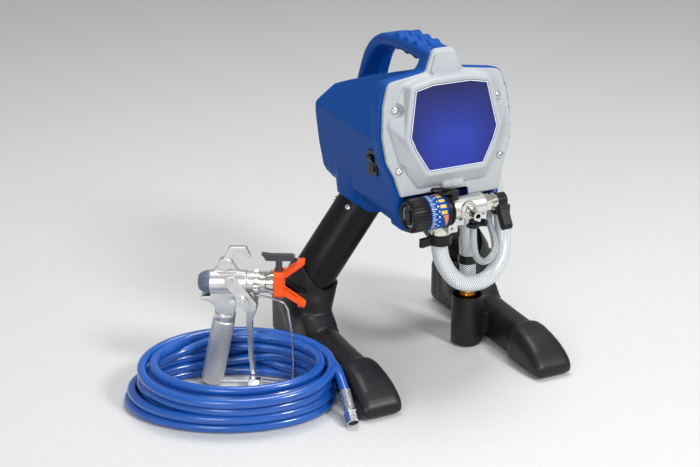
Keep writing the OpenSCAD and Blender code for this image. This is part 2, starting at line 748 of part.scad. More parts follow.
module drive_housing() {
    front = housing_back - 44;
    color("#9ea2a6") on_stand() difference() {
        union() {
            difference() {
                across(rounded(box_outline_at(2 * housing_half, housing_bottom, housing_top, 12)), front, housing_back);
                across(rounded(box_outline_at(2 * (housing_half - housing_wall), housing_bottom + housing_wall,
                                              housing_top - housing_wall, 6)), front - eps, housing_back - 6);
            }
            // boss and axle of the crank gear
            translate([0, 0, gear_z]) {
                y_rod(9, gear_y + gap, housing_back);
                y_rod(axle_r, gear_y - gear_w + gear_web + gap, housing_back);
            }
            // mounting lugs that bolt to the frame's partition
            leaned() for (s = [-1, 1], z = [housing_bottom + 12, housing_top - 20])
                translate([s * (housing_half + 4), 0, z]) y_rod(8, partition_y - 7, partition_y - 3);
        }
        translate([0, 0, motor_z]) y_rod(shaft_r + slack, front - eps, housing_back + eps);
        translate([0, pump_y, housing_bottom - eps]) cylinder(r = rod_d / 2 + 1.5, h = housing_wall + 2 * eps);
    }
}

module motor_can() {
    color("#3a3c3f") on_stand() translate([0, 0, motor_z]) difference() {
        y_rod(motor_d / 2, housing_back, housing_back + motor_l);
        y_rod(motor_d / 2 - 2.5, housing_back + 3, housing_back + motor_l + eps);
        y_rod(shaft_r + 2, housing_back - eps, housing_back + 4);
    }
}

module motor_end_bell() {
    y0 = housing_back + motor_l;
    color("#8d9195") on_stand() translate([0, 0, motor_z]) difference() {
        union() {
            y_rod(motor_d / 2, y0, y0 + 4);
            y_rod(14, y0, y0 + 12);
        }
        y_rod(shaft_r + slack, y0 - eps, y0 + 13);
        for (a = [0 : 60 : 300]) rotate([0, a, 0]) translate([motor_d / 2 - 14, 0, 0]) y_rod(5, y0 - eps, y0 + 5);
    }
}

module motor_shaft() {
    y1 = housing_back + motor_l + 32;
    color("#c0c4c8") on_stand() translate([0, 0, motor_z]) {
        y_rod(shaft_r, gear_y - gear_w, y1);
        // armature
        y_rod(motor_d / 2 - 12, housing_back + 20, housing_back + motor_l - 40);
        y_rod(14, housing_back + motor_l - 36, housing_back + motor_l - 16);
        translate([0, gear_y, 0]) rotate([90, 180 / pinion_teeth, 0]) gear(gear_module, pinion_teeth, gear_w);
    }
}

module cooling_fan() {
    y0 = housing_back + motor_l + 14;
    color("#2b2b2d") on_stand() translate([0, y0, motor_z]) difference() {
        union() {
            y_rod(9, 0, 14);
            y_rod(28, 0, 1.6);
            for (a = [0 : 40 : 320]) rotate([0, a, 0]) rotate([0, 0, 18])
                translate([8, 1, -1]) cube([18, 8, 2]);
        }
        y_rod(shaft_r + slack, -eps, 15);
    }
}

module crank_gear() {
    color("#b9a26a") on_stand() translate([0, 0, gear_z]) difference() {
        union() {
            translate([0, gear_y, 0]) rotate([90, 0, 0]) gear(gear_module, gear_teeth, gear_w);
            translate([0, 0, -crank_throw]) y_rod(crank_pin_r, pump_y - yoke_t / 2 + 1, gear_y - gear_w + 0.5);
        }
        y_rod(axle_r + slack, gear_y - gear_w + gear_web, gear_y + eps);
        for (a = [60 : 60 : 300]) rotate([0, a, 0]) translate([0.66 * gear_teeth * gear_module / 2, 0, 0])
            y_rod(5, gear_y - gear_w - eps, gear_y + eps);
    }
}

module drive_yoke() {
    color("#8a8f94") on_stand() translate([0, pump_y, yoke_z]) difference() {
        union() {
            across(rounded(box_outline(2 * yoke_half, 20, 4)), -yoke_t / 2, yoke_t / 2);
            across(rounded(box_outline(window_w + 12, yoke_h, 5)), -yoke_t / 2, yoke_t / 2);
        }
        across(rounded(box_outline(window_w, window_h, 3)), -yoke_t, yoke_t);
        for (s = [-1, 1]) translate([s * rod_x, 0, -20]) cylinder(r = guide_r + slack, h = 40);
    }
}

module guide_rods() {
    z0 = housing_bottom + housing_wall;
    color("#cfd2d5") on_stand() for (s = [-1, 1])
        translate([s * rod_x, pump_y, z0]) cylinder(r = guide_r, h = housing_top - housing_wall - z0);
}

module piston_rod() {
    top = yoke_z - yoke_h / 2;
    piston_z = pump_floor + 7;
    color("#d8dadd") on_stand() translate([0, pump_y, 0]) {
        translate([0, 0, piston_z]) cylinder(d = rod_d, h = top - piston_z);
        translate([0, 0, piston_z]) cylinder(d = piston_d, h = 9);
    }
}

// ---- pump ----

module pump_manifold() {
    block_r = cylinder_r + 6;
    color("#b9bcbe") on_stand() difference() {
        union() {
            translate([0, pump_y, pump_floor]) cylinder(r = block_r, h = pump_top - pump_floor);
            translate([0, pump_y, pump_top]) cylinder(r = neck_r, h = housing_bottom - pump_top);
            translate([0, valve_y, valve_z]) x_rod(manifold_d / 2, manifold_left, manifold_right);
            translate([outlet_x, 0, valve_z]) y_rod(12, outlet_front - 2, valve_y);
            // web from the cross tube back to the cylinder
            translate([manifold_left, valve_y, pump_floor + 12])
                cube([25, pump_y - valve_y, pump_top - pump_floor - 14]);
            // flange with the two pin holes
            translate([manifold_left, valve_y - 2, pump_floor + 4])
                cube([14, pump_y - valve_y - 4, 26]);
            translate([drain_x, valve_y, valve_z - manifold_d / 2 - 2]) cylinder(r = 8, h = 8);
        }
        translate([0, pump_y, pump_floor - eps]) cylinder(r = cylinder_r + slack, h = pump_top - 2 - pump_floor + eps);
        translate([0, pump_y, pump_floor]) cylinder(d = rod_d + 2 * slack, h = housing_bottom - pump_floor + eps);
        translate([0, pump_y, pump_top + 4]) cylinder(r = neck_r - 3 + slack, h = 10);
        translate([0, valve_y, valve_z]) x_rod(5 + slack, manifold_left - eps, outlet_x + 4);
        translate([outlet_x, 0, valve_z]) y_rod(3, outlet_front - 3, valve_y);
        // passage from the cylinder to the outlet
        translate([outlet_x - 2, pump_y, 244]) y_rod(2.5, valve_y - pump_y, 0);
        for (z = [pump_floor + 10, pump_floor + 20]) translate([manifold_left + 5, 0, z])
            y_rod(1.6, valve_y - 3, valve_y + 5);
        // flat seat of the latch
        translate([manifold_left - eps, valve_y - 10, valve_z + manifold_d / 2 - 1.5]) cube([14, 20, 5]);
    }
}

module pump_cylinder() {
    color("#cdd0d3") on_stand() translate([0, pump_y, pump_floor]) difference() {
        cylinder(r = cylinder_r, h = pump_top - pump_floor - 2);
        translate([0, 0, -eps]) cylinder(d = piston_d + 2 * slack, h = pump_top - pump_floor);
    }
}

module throat_packing() {
    color("#e6dfc8") on_stand() translate([0, pump_y, pump_top + 4]) difference() {
        cylinder(r = neck_r - 3, h = 10);
        translate([0, 0, -eps]) cylinder(d = rod_d + 2 * slack, h = 12);
    }
}

module inlet_valve() {
    seat = 212;
    color("#a9a48e") on_stand() translate([0, pump_y, 0]) difference() {
        union() {
            translate([0, 0, nut_top + 0.5]) cylinder(r = 15.5, h = pump_floor - nut_top - 0.5);
            translate([0, 0, nut_foot + 2]) cylinder(r = stub_r, h = 16);
        }
        translate([0, 0, nut_foot]) cylinder(r = 4, h = 40);
        translate([0, 0, seat]) cylinder(r = 7.5, h = 20);
    }
}

module inlet_ball() {
    // rests on the rim of the seat's hole
    ball_r = 5.5;
    color("#d9dcdf") on_stand() translate([0, pump_y, 212 + sqrt(ball_r * ball_r - 16) + 0.02]) sphere(r = ball_r);
}

module wing_nut() {
    color("#18181a") on_stand() translate([0, pump_y, 0]) difference() {
        union() {
            translate([0, 0, nut_foot]) cylinder(r = 16.5, h = nut_top - nut_foot);
            for (s = [-1, 1]) rotate([0, 0, 12]) translate([s * 24.5 - 10.5, -3, nut_foot + 1])
                cube([21, 6, 12.5]);
        }
        translate([0, 0, nut_foot + 2]) cylinder(r = stub_r + slack, h = 20);
        translate([0, 0, nut_foot - eps]) cylinder(r = 8, h = 20);
    }
}

module outlet_nipple() {
    y0 = outlet_front - 2;
    color("#c2c5c2") on_stand() translate([outlet_x, 0, valve_z]) difference() {
        union() {
            translate([0, y0, 0]) rotate([90, 0, 0]) cylinder(r = 10.5, h = 7, $fn = 6);
            y_rod(8, y0 - 9, y0);
            y_rod(outlet_d / 2, y0 - 24, y0);
        }
        y_rod(3.4, y0 - 25, y0 + eps);
    }
}

module on_valve() { on_stand() translate([0, valve_y, valve_z]) children(); }

module pressure_knob() {
    // the ribbed barrel and its dished outer face
    color("#1c1c1e") on_valve() difference() {
        union() {
            x_rod(knob_d / 2 - 0.9, knob_x, knob_x + knob_l);
            for (a = [0 : 12 : 348]) rotate([a, 0, 0])
                translate([knob_x + 3, -0.9, knob_d / 2 - 2]) cube([knob_l - 4, 1.8, 2]);
        }
        x_rod(knob_d / 2 - 7, knob_x - eps, knob_x + 3);
        x_rod(4 + slack, knob_x + 3, knob_x + knob_l + eps);
        for (a = [0 : 45 : 315]) rotate([a, 0, 0])
            translate([knob_x + 1, -1.5, 10]) cube([4, 3, 5]);
    }
}

module knob_band() {
    color("#2450b8") on_valve() difference() {
        x_rod(knob_d / 2 - 0.3, band_x - band_w, band_x - gap);
        x_rod(5 + slack, band_x - band_w - eps, band_x + eps);
    }
}

module pressure_collar() {
    color("#131314") on_valve() difference() {
        union() {
            x_rod(knob_d / 2 + 0.5, band_x, band_x + 4);
            x_rod(knob_d / 2 - 4, band_x + 4, band_x + 8);
            x_rod(knob_d / 2 - 1.5, band_x + 8, manifold_left);
        }
        x_rod(5 + slack, band_x - eps, manifold_left + eps);
    }
}

module pressure_stem() {
    color("#c7cacd") on_valve() {
        x_rod(4, knob_x + 3, knob_x + knob_l);
        x_rod(5, knob_x + knob_l, manifold_left + 12);
    }
}

module prime_valve() {
    x1 = manifold_right;
    color("#b8b39c") on_valve() difference() {
        union() {
            translate([x1, 0, 0]) rotate([0, 90, 0]) cylinder(r = 13, h = 9, $fn = 6);
            x_rod(10.5, x1 + 9, x1 + 13);
            x_rod(12, x1 + 13, x1 + 17);
            x_rod(9.5, x1 + 17, x1 + 21);
        }
        x_rod(4 + slack, x1 + 6, x1 + 22);
    }
}

module prime_lever() {
    x0 = manifold_right + 21 + gap;
    color("#1a1a1c") on_valve() {
        x_rod(10.5, x0, x0 + 14);
        x_rod(4, x0 - 14, x0 + 1);
        rotate([-34, 0, 0]) side_at(x0 + 0.5, 13, rounded([[-8.5, 0, 0], [8.5, 0, 0], [6.5, -16, 8], [7.5, -lever_l, 6],
                                                     [-6.5, -lever_l, 6], [-6.5, -16, 8]]));
    }
}

module side_at(x0, w, outline) { translate([x0 + w / 2, 0, 0]) side_wise(outline, w); }

module drain_barb() {
    z1 = valve_z - manifold_d / 2 - 2;
    color("#8c8f92") on_stand() translate([drain_x, valve_y, 0]) {
        translate([0, 0, z1 - 7]) cylinder(r = 6.5, h = 7);
        translate([0, 0, 228]) cylinder(r = 3.4, h = z1 - 228);
    }
    // the black spring clamp with its two ears
    color("#161617") on_stand() translate([drain_x, valve_y, 228]) difference() {
        union() {
            cylinder(r = 7, h = 6);
            translate([2, -3, 0]) cube([17, 6, 5]);
            translate([14, -5, 0]) cube([5, 10, 8]);
            translate([-10, -2.5, 1]) cube([8, 5, 4]);
        }
        translate([0, 0, -eps]) cylinder(r = 3.4, h = 10);
    }
}

module pump_latch() {
    z0 = valve_z + manifold_d / 2 - 1.5;
    color("#151516") on_stand() {
        across([[manifold_left + 1, z0], [manifold_left + 11, z0], [manifold_left + 11, z0 + 14],
                [manifold_left + 1, z0 + 14]], valve_y - 8, valve_y + 4);
        across(rounded([[manifold_left + 2, z0 + 10, 0], [manifold_left + 2, z0 + 14, 0], [-32, z0 + 20, 2],
                        [-38, z0 + 17, 2], [-37, z0 + 13, 2], [-30, z0 + 15, 2]], 4), valve_y - 10, valve_y + 3);
    }
}

// ---- suction side hoses ----

module hose_clips() {
    ring = 2;
    color("#141415") on_stand() difference() {
        union() {
            translate(upper_clip[0] - [0, 0, 5]) cylinder(d = suction_d + 2 * ring, h = 10);
            translate(upper_clip[1] - [0, 0, 5]) cylinder(d = drain_d + 2 * ring, h = 10);
            translate(lower_clip[0] - [0, 0, 6]) cylinder(d = suction_d + 2 * ring, h = 12);
            translate(lower_clip[1] - [0, 0, 6]) cylinder(d = drain_d + 2 * ring, h = 12);
        }
        tube(suction_route, suction_d / 2 + slack);
        tube(drain_route, drain_d / 2 + slack);
    }
}

module suction_hose() { color("#d5dadc") on_stand() tube(suction_route, suction_d / 2); }
module drain_tube() { color("#dfe4e6") on_stand() tube(drain_route, drain_d / 2, 10); }

module suction_fitting() {
    color("#c9a24a") on_stand() translate([cup_at[0], cup_at[1], 0]) {
        translate([0, 0, 84]) cylinder(r = 12, h = 4);
        translate([0, 0, 80]) cylinder(r = 9.5, h = 4);
        translate([0, 0, 70]) cylinder(r = 12.5, h = 10);
        translate([0, 0, 88]) cylinder(r = 10, h = 8);
        translate([0, 0, cup_at[2] + cup_wall]) cylinder(r = 11, h = 70 - cup_at[2] - cup_wall);
    }
}

// ---- airless hose ----

function oval(l, w, n = 72) = [for (i = [0 : n - 1]) [l / 2 * cos(360 * i / n), w / 2 * sin(360 * i / n)]];

module hose_coil() {
    color("#1250ad") translate(coil_at) rotate([0, 0, coil_turn]) linear_extrude(coil_h) difference() {
        polygon(oval(coil_l, coil_w));
        polygon(oval(coil_l - 2 * coil_ring, coil_w - 2 * coil_ring));
    }
}

module outer_hose_tail() { color("#1250ad") tube(outer_tail_route, hose_d / 2, 12, [0, 0, 1]); }
module inner_hose_tail() { color("#1250ad") tube(inner_tail_route, hose_d / 2, 12, [0, 0, 1]); }

module at_hose_ends() {
    translate(outer_end) rotate([0, outer_pitch, outer_turn]) children();
    translate(inner_end) rotate([0, 0, inner_turn]) children();
}

module hose_sleeves() {
    color("#c3c6c8") at_hose_ends() {
        difference() {
            x_rod(sleeve_d / 2, 0, sleeve_l);
            for (i = [0 : 3]) difference() {
                x_rod(sleeve_d, 4 + i * 6, 6 + i * 6);
                x_rod(sleeve_d / 2 - 0.6, 3 + i * 6, 7 + i * 6);
            }
        }
        x_rod(5, sleeve_l, sleeve_l + 3);
    }
}

module hose_nuts() {
    color("#cfd2d3") at_hose_ends() difference() {
        translate([sleeve_l + 3, 0, 0]) rotate([0, 90, 0]) rotate([0, 0, 30])
            cylinder(d = hose_nut_d, h = hose_nut_l, $fn = 6);
        x_rod(outlet_d / 2 + slack, sleeve_l + 6, sleeve_l + 20);
        x_rod(4, sleeve_l, sleeve_l + 8);
    }
}

// ---- spray gun, in its own frame: +X is the spray's way, the handle's foot is the origin ----

module gun_plate(outline, half) { across(rounded(outline, 4), -half, half); }

module gun_body() {
    b = barrel_h;
    top = handle_l * [sin(grip_lean), cos(grip_lean)] + [0, foot_lift];
    color("#c4c7c9") on_gun() difference() {
        union() {
            translate([0, 0, barrel_h]) {
                x_rod(barrel_d / 2, body_rear, body_front - 10);
                x_rod(barrel_d / 2 - 2, body_front - 10, body_front);
                x_rod(barrel_d / 2 - 5, body_front, body_front + 16);
            }
            // hook with its round boss
            gun_plate([[6, b + 10, 0], [6, b + 15, 2], [22, b + 35, 4], [31, b + 53, 4], [54, b + 53, 4],
                       [60.5, b + 38, 1.5], [57, b + 36.5, 1], [51, b + 46, 3], [38, b + 46, 4], [33, b + 35, 4],
                       [43, b + 15, 4], [43, b + 8, 0]], 4.5);
            translate([24, 0, b + 27]) y_rod(9, -6, 6);
            // neck and palm rest
            gun_plate([[4, b - 6, 0], [4, b - 17, 0], [-9, b - 17.5, 2], [-11, b - 22, 3], [2, b - 25, 6], [9, b - 31, 5],
                       [top[0] - 12.2, top[1] + 2.6, 0], [top[0] + 12.2, top[1] - 2.6, 0], [38, b - 35, 4], [41, b - 26, 4],
                       [54, wire_top - 3, 3], [body_front, wire_top - 3, 1], [body_front, b - 14, 0],
                       [56, b - 6, 0]], neck_half);
        }
        translate([0, 0, barrel_h]) {
            x_rod(needle_d / 2 + slack, body_rear - eps, body_front + 17);
            x_rod(6, body_rear - eps, body_rear + 18);
        }
        translate([trigger_pin[0], 0, trigger_pin[1]]) y_rod(2.5 + slack, -30, 30);
        translate([0, 0, wire_top]) x_rod(wire_d / 2 + slack, body_front - 5, body_front + eps);
    }
}

module gun_rear_cap() {
    color("#5f6c7e") on_gun() translate([body_rear, 0, barrel_h]) rotate([0, -90, 0]) difference() {
        rotate_extrude() polygon([[0, 0], [barrel_d / 2 - 0.5, 0], [barrel_d / 2 - 0.5, 2], [barrel_d / 2 - 2, 8],
                                  [barrel_d / 2 - 5, 14], [barrel_d / 2 - 7, 15.5], [0, 16.5]]);
        translate([0, 0, -eps]) cylinder(r = 5, h = 12);
    }
}

// The handle leans forward from its foot
module on_grip() { on_gun() translate([0, 0, foot_lift]) rotate([0, grip_lean, 0]) children(); }
function knurled(r, n, depth) = [for (i = [0 : 4 * n - 1]) (r - (i % 4 < 2 ? 0 : depth)) * [cos(90 * i / n), sin(90 * i / n)]];

module gun_handle() {
    r = grip_d / 2;
    color("#b4b7b9") difference() {
        on_grip() difference() {
            union() {
                cylinder(r1 = r - 1.5, r2 = r, h = 7);
                translate([0, 0, 7]) linear_extrude(handle_l - 20) polygon(knurled(r + 0.2, 30, 0.5));
                translate([0, 0, handle_l - 13]) cylinder(r = r - 0.8, h = 13);
            }
            translate([0, 0, -eps]) cylinder(r = 9 + slack, h = handle_l - 6);
        }
        on_gun() translate([0, 0, wire_z]) x_rod(wire_d / 2 + slack, 10, 20);
    }
}

module gun_filter() {
    color("#dcdcd4") on_grip() difference() {
        union() {
            translate([0, 0, 8]) cylinder(r = 7, h = 86);
            cylinder(r = 9, h = inlet_depth + 2);
            for (i = [0 : 4]) translate([0, 0, 14 + i * 18]) cylinder(r = 8.2, h = 2);
        }
        translate([0, 0, -eps]) cylinder(r = 4, h = 90);
        translate([0, 0, -eps]) cylinder(r = outlet_d / 2 + slack, h = inlet_depth + eps);
    }
}

module gun_trigger() {
    ear0 = barrel_d / 2 + gap;
    pin = trigger_pin;
    b = barrel_h;
    color("#c9ccce") on_gun() difference() {
        union() {
            // side plates from the pivot down past the neck
            for (s = [-1, 1]) translate([0, s * (ear0 + ear_t / 2), 0])
                gun_plate([[pin[0] - 7, pin[1] + 5, 5], [pin[0] + 6, pin[1] + 7, 5], [52, b - 3, 6], [68, b - 25, 4],
                           [66, b - 35, 3], [53, b - 37, 3], [44, b - 23, 6], [pin[0] - 8, pin[1] - 5, 5]], ear_t / 2);
            // the long finger lever and the web that joins the plates
            gun_plate([[53, b - 32, 2], [69, b - 32, 3], [60, b - 57, 14], [60, 45, 10], [63, 19, 2], [60, 16.5, 1.5],
                       [57, 19, 2], [54, 45, 10], [52, b - 57, 10]], 9.5);
            gun_plate([[53, b - 35, 1], [68, b - 31, 1], [66, b - 37, 1], [54, b - 39, 1]], ear0 + ear_t);
        }
        translate([pin[0], 0, pin[1]]) y_rod(2.5 + slack, -30, 30);
    }
}

module trigger_screws() {
    out = barrel_d / 2 + gap + ear_t + gap;
    color("#a8acb0") on_gun() translate([trigger_pin[0], 0, trigger_pin[1]]) {
        y_rod(2.5, -out, out);
        for (s = [-1, 1]) translate([0, s * (out + 1.5), 0]) y_rod(4.6, -1.5, 1.5);
    }
}

module trigger_lock() {
    out = -(barrel_d / 2 + gap + ear_t + gap);
    color("#9aa0a6") on_gun() translate([lock_pin[0], out, lock_pin[1]]) {
        y_rod(7.5, -5, 0);
        y_rod(4, -7, -5);
        translate([-18, -4, -2.5]) cube([14, 3, 5]);
    }
}

module gun_needle() {
    color("#d6d9dc") on_gun() translate([0, 0, barrel_h]) x_rod(needle_d / 2, body_rear - 6, body_front + 14);
}

module retaining_nut() {
    r = barrel_d / 2;
    bore = barrel_d / 2 - 5 + slack;
    color("#bfc3c6") on_gun() translate([0, 0, barrel_h]) difference() {
        union() {
            translate([body_front, 0, 0]) rotate([0, 90, 0]) linear_extrude(6) polygon(knurled(r, 24, 0.8));
            x_rod(r - 2, body_front + 6, guard_x - 4);
            x_rod(r, guard_x - 5, guard_x - gap);
        }
        x_rod(bore, body_front - eps, body_front + 17);
        x_rod(bore - 2, body_front + 15, guard_x + eps);
        for (a = [30 : 60 : 330]) rotate([a, 0, 0])
            translate([body_front + 8, -4.5, bore - 4]) cube([9, 9, 12]);
    }
}

module tip_guard() {
    prong = [[0, 0, 1], [34, 22, 2], [36.5, 18, 2], [31, 13, 2], [6, -6, 2]];
    color("#ff6a1c") on_gun() translate([guard_x, 0, barrel_h]) difference() {
        union() {
            side_at(0, 14, rounded(box_outline(30, 37, 6)));
            // spigot that turns in the retaining nut
            x_rod(barrel_d / 2 - 7, -4, 1);
            for (s = [0, 180]) rotate([s, 0, 0]) {
                translate([7, 0, 13]) gun_plate(prong, 8);
                translate([35, 0, 32]) y_rod(3, -6, 6);
            }
        }
        translate([tip_x - guard_x, 0, -30]) cylinder(d = tip_d + 2 * slack, h = 60);
        x_rod(5, -5, 15);
        x_rod(9, 12, 40);
        for (s = [0, 180]) rotate([s, 0, 0]) translate([22, 0, 14]) rotate([0, -33, 0]) translate([0, -3, 0]) cube([12, 6, 14]);
    }
}

module spray_tip() {
    color("#4a4b50") on_gun() translate([tip_x, 0, barrel_h]) difference() {
        union() {
            translate([0, 0, -15]) cylinder(d = tip_d, h = 36);
            translate([0, 0, 20]) cylinder(r = 4.6, h = 14);
            gun_plate([[-25, 44, 1], [-20, 38, 1], [-18, 33, 1.5], [20, 33, 1.5], [20, 42, 1.5], [-8, 42, 1]], 4);
            translate([20, 0, 37.5]) x_rod(4.4, -2, 2);
        }
        x_rod(1.2, -8, 8);
    }
}

module wire_guard() {
    front = 116;
    path = [[body_front - 4, wire_top], [body_front + 4, wire_top], [84, wire_top - 3], [97, wire_top - 7],
            [105, wire_top - 12], [109, wire_top - 21], [113, 86], [115.5, 60], [front, 30], [front - 0.5, 12],
            [front - 4, wire_z + 1.5], [front - 10, wire_z], [70, wire_z], [30, wire_z], [10.4, wire_z]];
    color("#c8c4bb") on_gun() tube([for (p = path) [p[0], 0, p[1]]], wire_d / 2, 10, [0, 1, 0]);
}

left_foot();
right_foot();
left_leg();
right_leg();
foot_pads();
drip_cup();
leg_screws();
left_enclosure();
right_enclosure();
front_cover();
name_panel();
cover_screws();
switch_bezel();
switch_rocker();
cord_gland();
drive_housing();
motor_can();
motor_end_bell();
motor_shaft();
cooling_fan();
crank_gear();
drive_yoke();
guide_rods();
piston_rod();
pump_manifold();
pump_cylinder();
throat_packing();
inlet_valve();
inlet_ball();
wing_nut();
outlet_nipple();
pressure_knob();
knob_band();
pressure_collar();
pressure_stem();
prime_valve();
prime_lever();
drain_barb();
pump_latch();
hose_clips();
suction_hose();
drain_tube();
suction_fitting();
hose_coil();
outer_hose_tail();
inner_hose_tail();
hose_sleeves();
hose_nuts();
gun_body();
gun_rear_cap();
gun_handle();
gun_filter();
gun_trigger();
trigger_screws();
trigger_lock();
gun_needle();
retaining_nut();
tip_guard();
spray_tip();
wire_guard();
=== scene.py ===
# %% [markdown]
# An electric airless paint sprayer on its stand, with a coiled hose and a spray gun.
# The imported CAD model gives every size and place. Each cell below makes one piece or one finish
# and says what it is on the real machine, how it could be made, and why this way was chosen.

# %% Load the frame
import math

import bmesh
import bpy
import numpy as np
from mathutils import Matrix, Vector, noise
from mathutils.bvhtree import BVHTree


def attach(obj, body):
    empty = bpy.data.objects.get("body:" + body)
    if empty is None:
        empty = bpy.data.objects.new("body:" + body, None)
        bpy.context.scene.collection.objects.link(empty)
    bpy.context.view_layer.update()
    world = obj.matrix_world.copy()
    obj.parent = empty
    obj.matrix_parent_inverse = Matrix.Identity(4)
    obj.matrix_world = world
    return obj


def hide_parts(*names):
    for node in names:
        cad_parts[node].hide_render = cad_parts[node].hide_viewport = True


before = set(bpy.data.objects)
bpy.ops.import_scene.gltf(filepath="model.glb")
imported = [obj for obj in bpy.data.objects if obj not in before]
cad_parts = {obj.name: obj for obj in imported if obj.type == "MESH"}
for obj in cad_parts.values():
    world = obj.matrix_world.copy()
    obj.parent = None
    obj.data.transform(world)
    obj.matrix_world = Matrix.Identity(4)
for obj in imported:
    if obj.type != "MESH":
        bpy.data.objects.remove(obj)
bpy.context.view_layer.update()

MM = 0.001
STAND = Vector((73.5, -1, 0)) * MM
GUN = STAND + Vector((-306, 29.5, 0)) * MM
GUN_TURN = math.radians(-28)
COIL_TURN = math.radians(-26)

# %% [markdown]
# The camera stands a little above the bench, to the front left. A long lens keeps the foot bars
# from spreading, as in a catalogue view.

# %% Camera
FOCAL_PX = 1575
FRAME_PX = 700
camera = bpy.data.objects.new("camera", bpy.data.cameras.new("camera"))
bpy.context.scene.collection.objects.link(camera)
camera.data.sensor_width = 36
camera.data.lens = 36 * FOCAL_PX / FRAME_PX
camera.data.clip_start = 0.05
camera.data.clip_end = 30
azimuth, elevation = math.radians(-26.1), math.radians(21.9)
camera.location = Vector((-929.8, -1838.0, 1024.0)) * MM
level = math.cos(elevation)
toward = Vector((-math.sin(azimuth) * level, math.cos(azimuth) * level, -math.sin(elevation)))
camera.rotation_euler = toward.to_track_quat("-Z", "Y").to_euler()
bpy.context.scene.camera = camera
bpy.context.scene.view_settings.view_transform = "Standard"
print("lens", round(camera.data.lens, 1), "mm")

# %% [markdown]
# Colours are chosen on a screen, so they are written as sRGB hex. A shader adds and multiplies
# light, so it needs linear values. One function turns the first into the second.

# %% Colour
def shade(hex_code):
    """sRGB hex to the linear colour that a shader works in."""
    parts = [int(hex_code[i:i + 2], 16) / 255 for i in (1, 3, 5)]
    return tuple(c / 12.92 if c <= 0.04045 else ((c + 0.055) / 1.055) ** 2.4 for c in parts) + (1.0,)


print("mid grey is", round(shade("#808080")[0], 3), "in linear light")

# %% [markdown]
# A node's inputs come from values or from other nodes, and a colour ramp also has its stops. So
# one call says everything about a node.

# %% Nodes and their links
def add(material, kind, inputs=(), stops=(), **settings):
    """Adds a node; inputs maps a socket to a value or to (node, output), stops colour a ramp."""
    node = material.node_tree.nodes.new(kind)
    for index, (place, colour) in enumerate(stops):
        element = node.color_ramp.elements[index] if index < 2 else node.color_ramp.elements.new(place)
        element.position, element.color = place, shade(colour)
    for key, value in settings.items():
        setattr(node, key, value)
    for socket, value in dict(inputs).items():
        if isinstance(value, tuple) and isinstance(value[0], bpy.types.Node):
            material.node_tree.links.new(value[0].outputs[value[1]], node.inputs[socket])
        else:
            node.inputs[socket].default_value = value
    return node


def new_material(name, **sockets):
    """A material with its Principled shader, whose plain sockets are set here."""
    material = bpy.data.materials.new(name)
    material.use_nodes = True
    shader = material.node_tree.nodes["Principled BSDF"]
    for socket, value in sockets.items():
        shader.inputs[socket.replace("_", " ")].default_value = value
    return material, shader


def feed(material, shader, socket, source, output):
    material.node_tree.links.new(source.outputs[output], shader.inputs[socket])


def per_metre(millimetres):
    """A texture's scale for a feature of this size."""
    return 1000 / millimetres


print("a 2 mm grain has scale", per_metre(2))

# %% [markdown]
# Moulded plastic is the finish of nearly the whole machine: ABS on the blue shroud and the grey
# cover, glass-filled nylon on the black feet. The mould's spark-eroded steel leaves a fine grain
# of about 0.6 mm, so highlights break up softly. Colour drifts by a few percent where the melt
# flowed. Grain drives the bump, a broad noise drives the drift and the gloss.

# %% Material: moulded plastic
def moulded_plastic(name, colour, drift, roughness, grain_mm=0.6, grain=0.10, sheen_level=0.3):
    material, shader = new_material(name, IOR=1.49, Specular_IOR_Level=sheen_level)
    place = add(material, "ShaderNodeTexCoord")
    broad = add(material, "ShaderNodeTexNoise", {"Vector": (place, "Object"), "Scale": per_metre(45),
                                                 "Detail": 3.0})
    fine = add(material, "ShaderNodeTexNoise", {"Vector": (place, "Object"), "Scale": per_metre(grain_mm),
                                                "Detail": 2.0})
    tint = add(material, "ShaderNodeValToRGB", {"Fac": (broad, "Fac")}, stops=[(0.3, colour), (0.7, drift)])
    feed(material, shader, "Base Color", tint, "Color")
    gloss = add(material, "ShaderNodeMapRange", {"Value": (broad, "Fac"), "From Min": 0.3, "From Max": 0.7,
                                                "To Min": roughness - 0.04, "To Max": roughness + 0.05})
    feed(material, shader, "Roughness", gloss, "Result")
    bump = add(material, "ShaderNodeBump", {"Height": (fine, "Fac"), "Strength": grain, "Distance": 0.0002})
    feed(material, shader, "Normal", bump, "Normal")
    return material


BLUE_ABS = moulded_plastic("blue_abs_moulding", "#074795", "#094B9D", 0.42, sheen_level=0.12)
GREY_ABS = moulded_plastic("grey_abs_moulding", "#B0B4B8", "#B8BCBF", 0.45)
BLACK_NYLON = moulded_plastic("black_glass_filled_nylon", "#151517", "#1B1B1D", 0.4, grain=0.14,
                              sheen_level=0.42)
BLACK_ABS = moulded_plastic("black_abs_moulding", "#131315", "#18181A", 0.36)
SWITCH_ABS = moulded_plastic("black_switch_nylon", "#101011", "#161617", 0.28, grain=0.05)
SOFT_CAP = moulded_plastic("slate_blue_polypropylene", "#5A6879", "#657386", 0.38)
GUARD_ORANGE = moulded_plastic("orange_acetal", "#F4500C", "#FF6416", 0.3, grain=0.05)
TIP_GREY = moulded_plastic("graphite_acetal", "#3E3F44", "#4A4B50", 0.34, grain=0.06)
NATURAL_NYLON = moulded_plastic("natural_nylon_gear", "#B79A5F", "#C4A86E", 0.45)
PACKING = moulded_plastic("polyethylene_packing", "#E2DAC3", "#EAE3CF", 0.5)
PAD_RUBBER = moulded_plastic("black_rubber_pad", "#121212", "#191919", 0.72, grain_mm=0.9, grain=0.3)
PRINT_WHITE = moulded_plastic("white_pad_print", "#DDE3EC", "#E9EDF2", 0.4, grain=0.04)
PRINT_YELLOW = moulded_plastic("yellow_pad_print", "#F0BE1E", "#F6CB3A", 0.4, grain=0.04)
PRINT_ORANGE = moulded_plastic("orange_pad_print", "#EE7414", "#F48426", 0.4, grain=0.04)
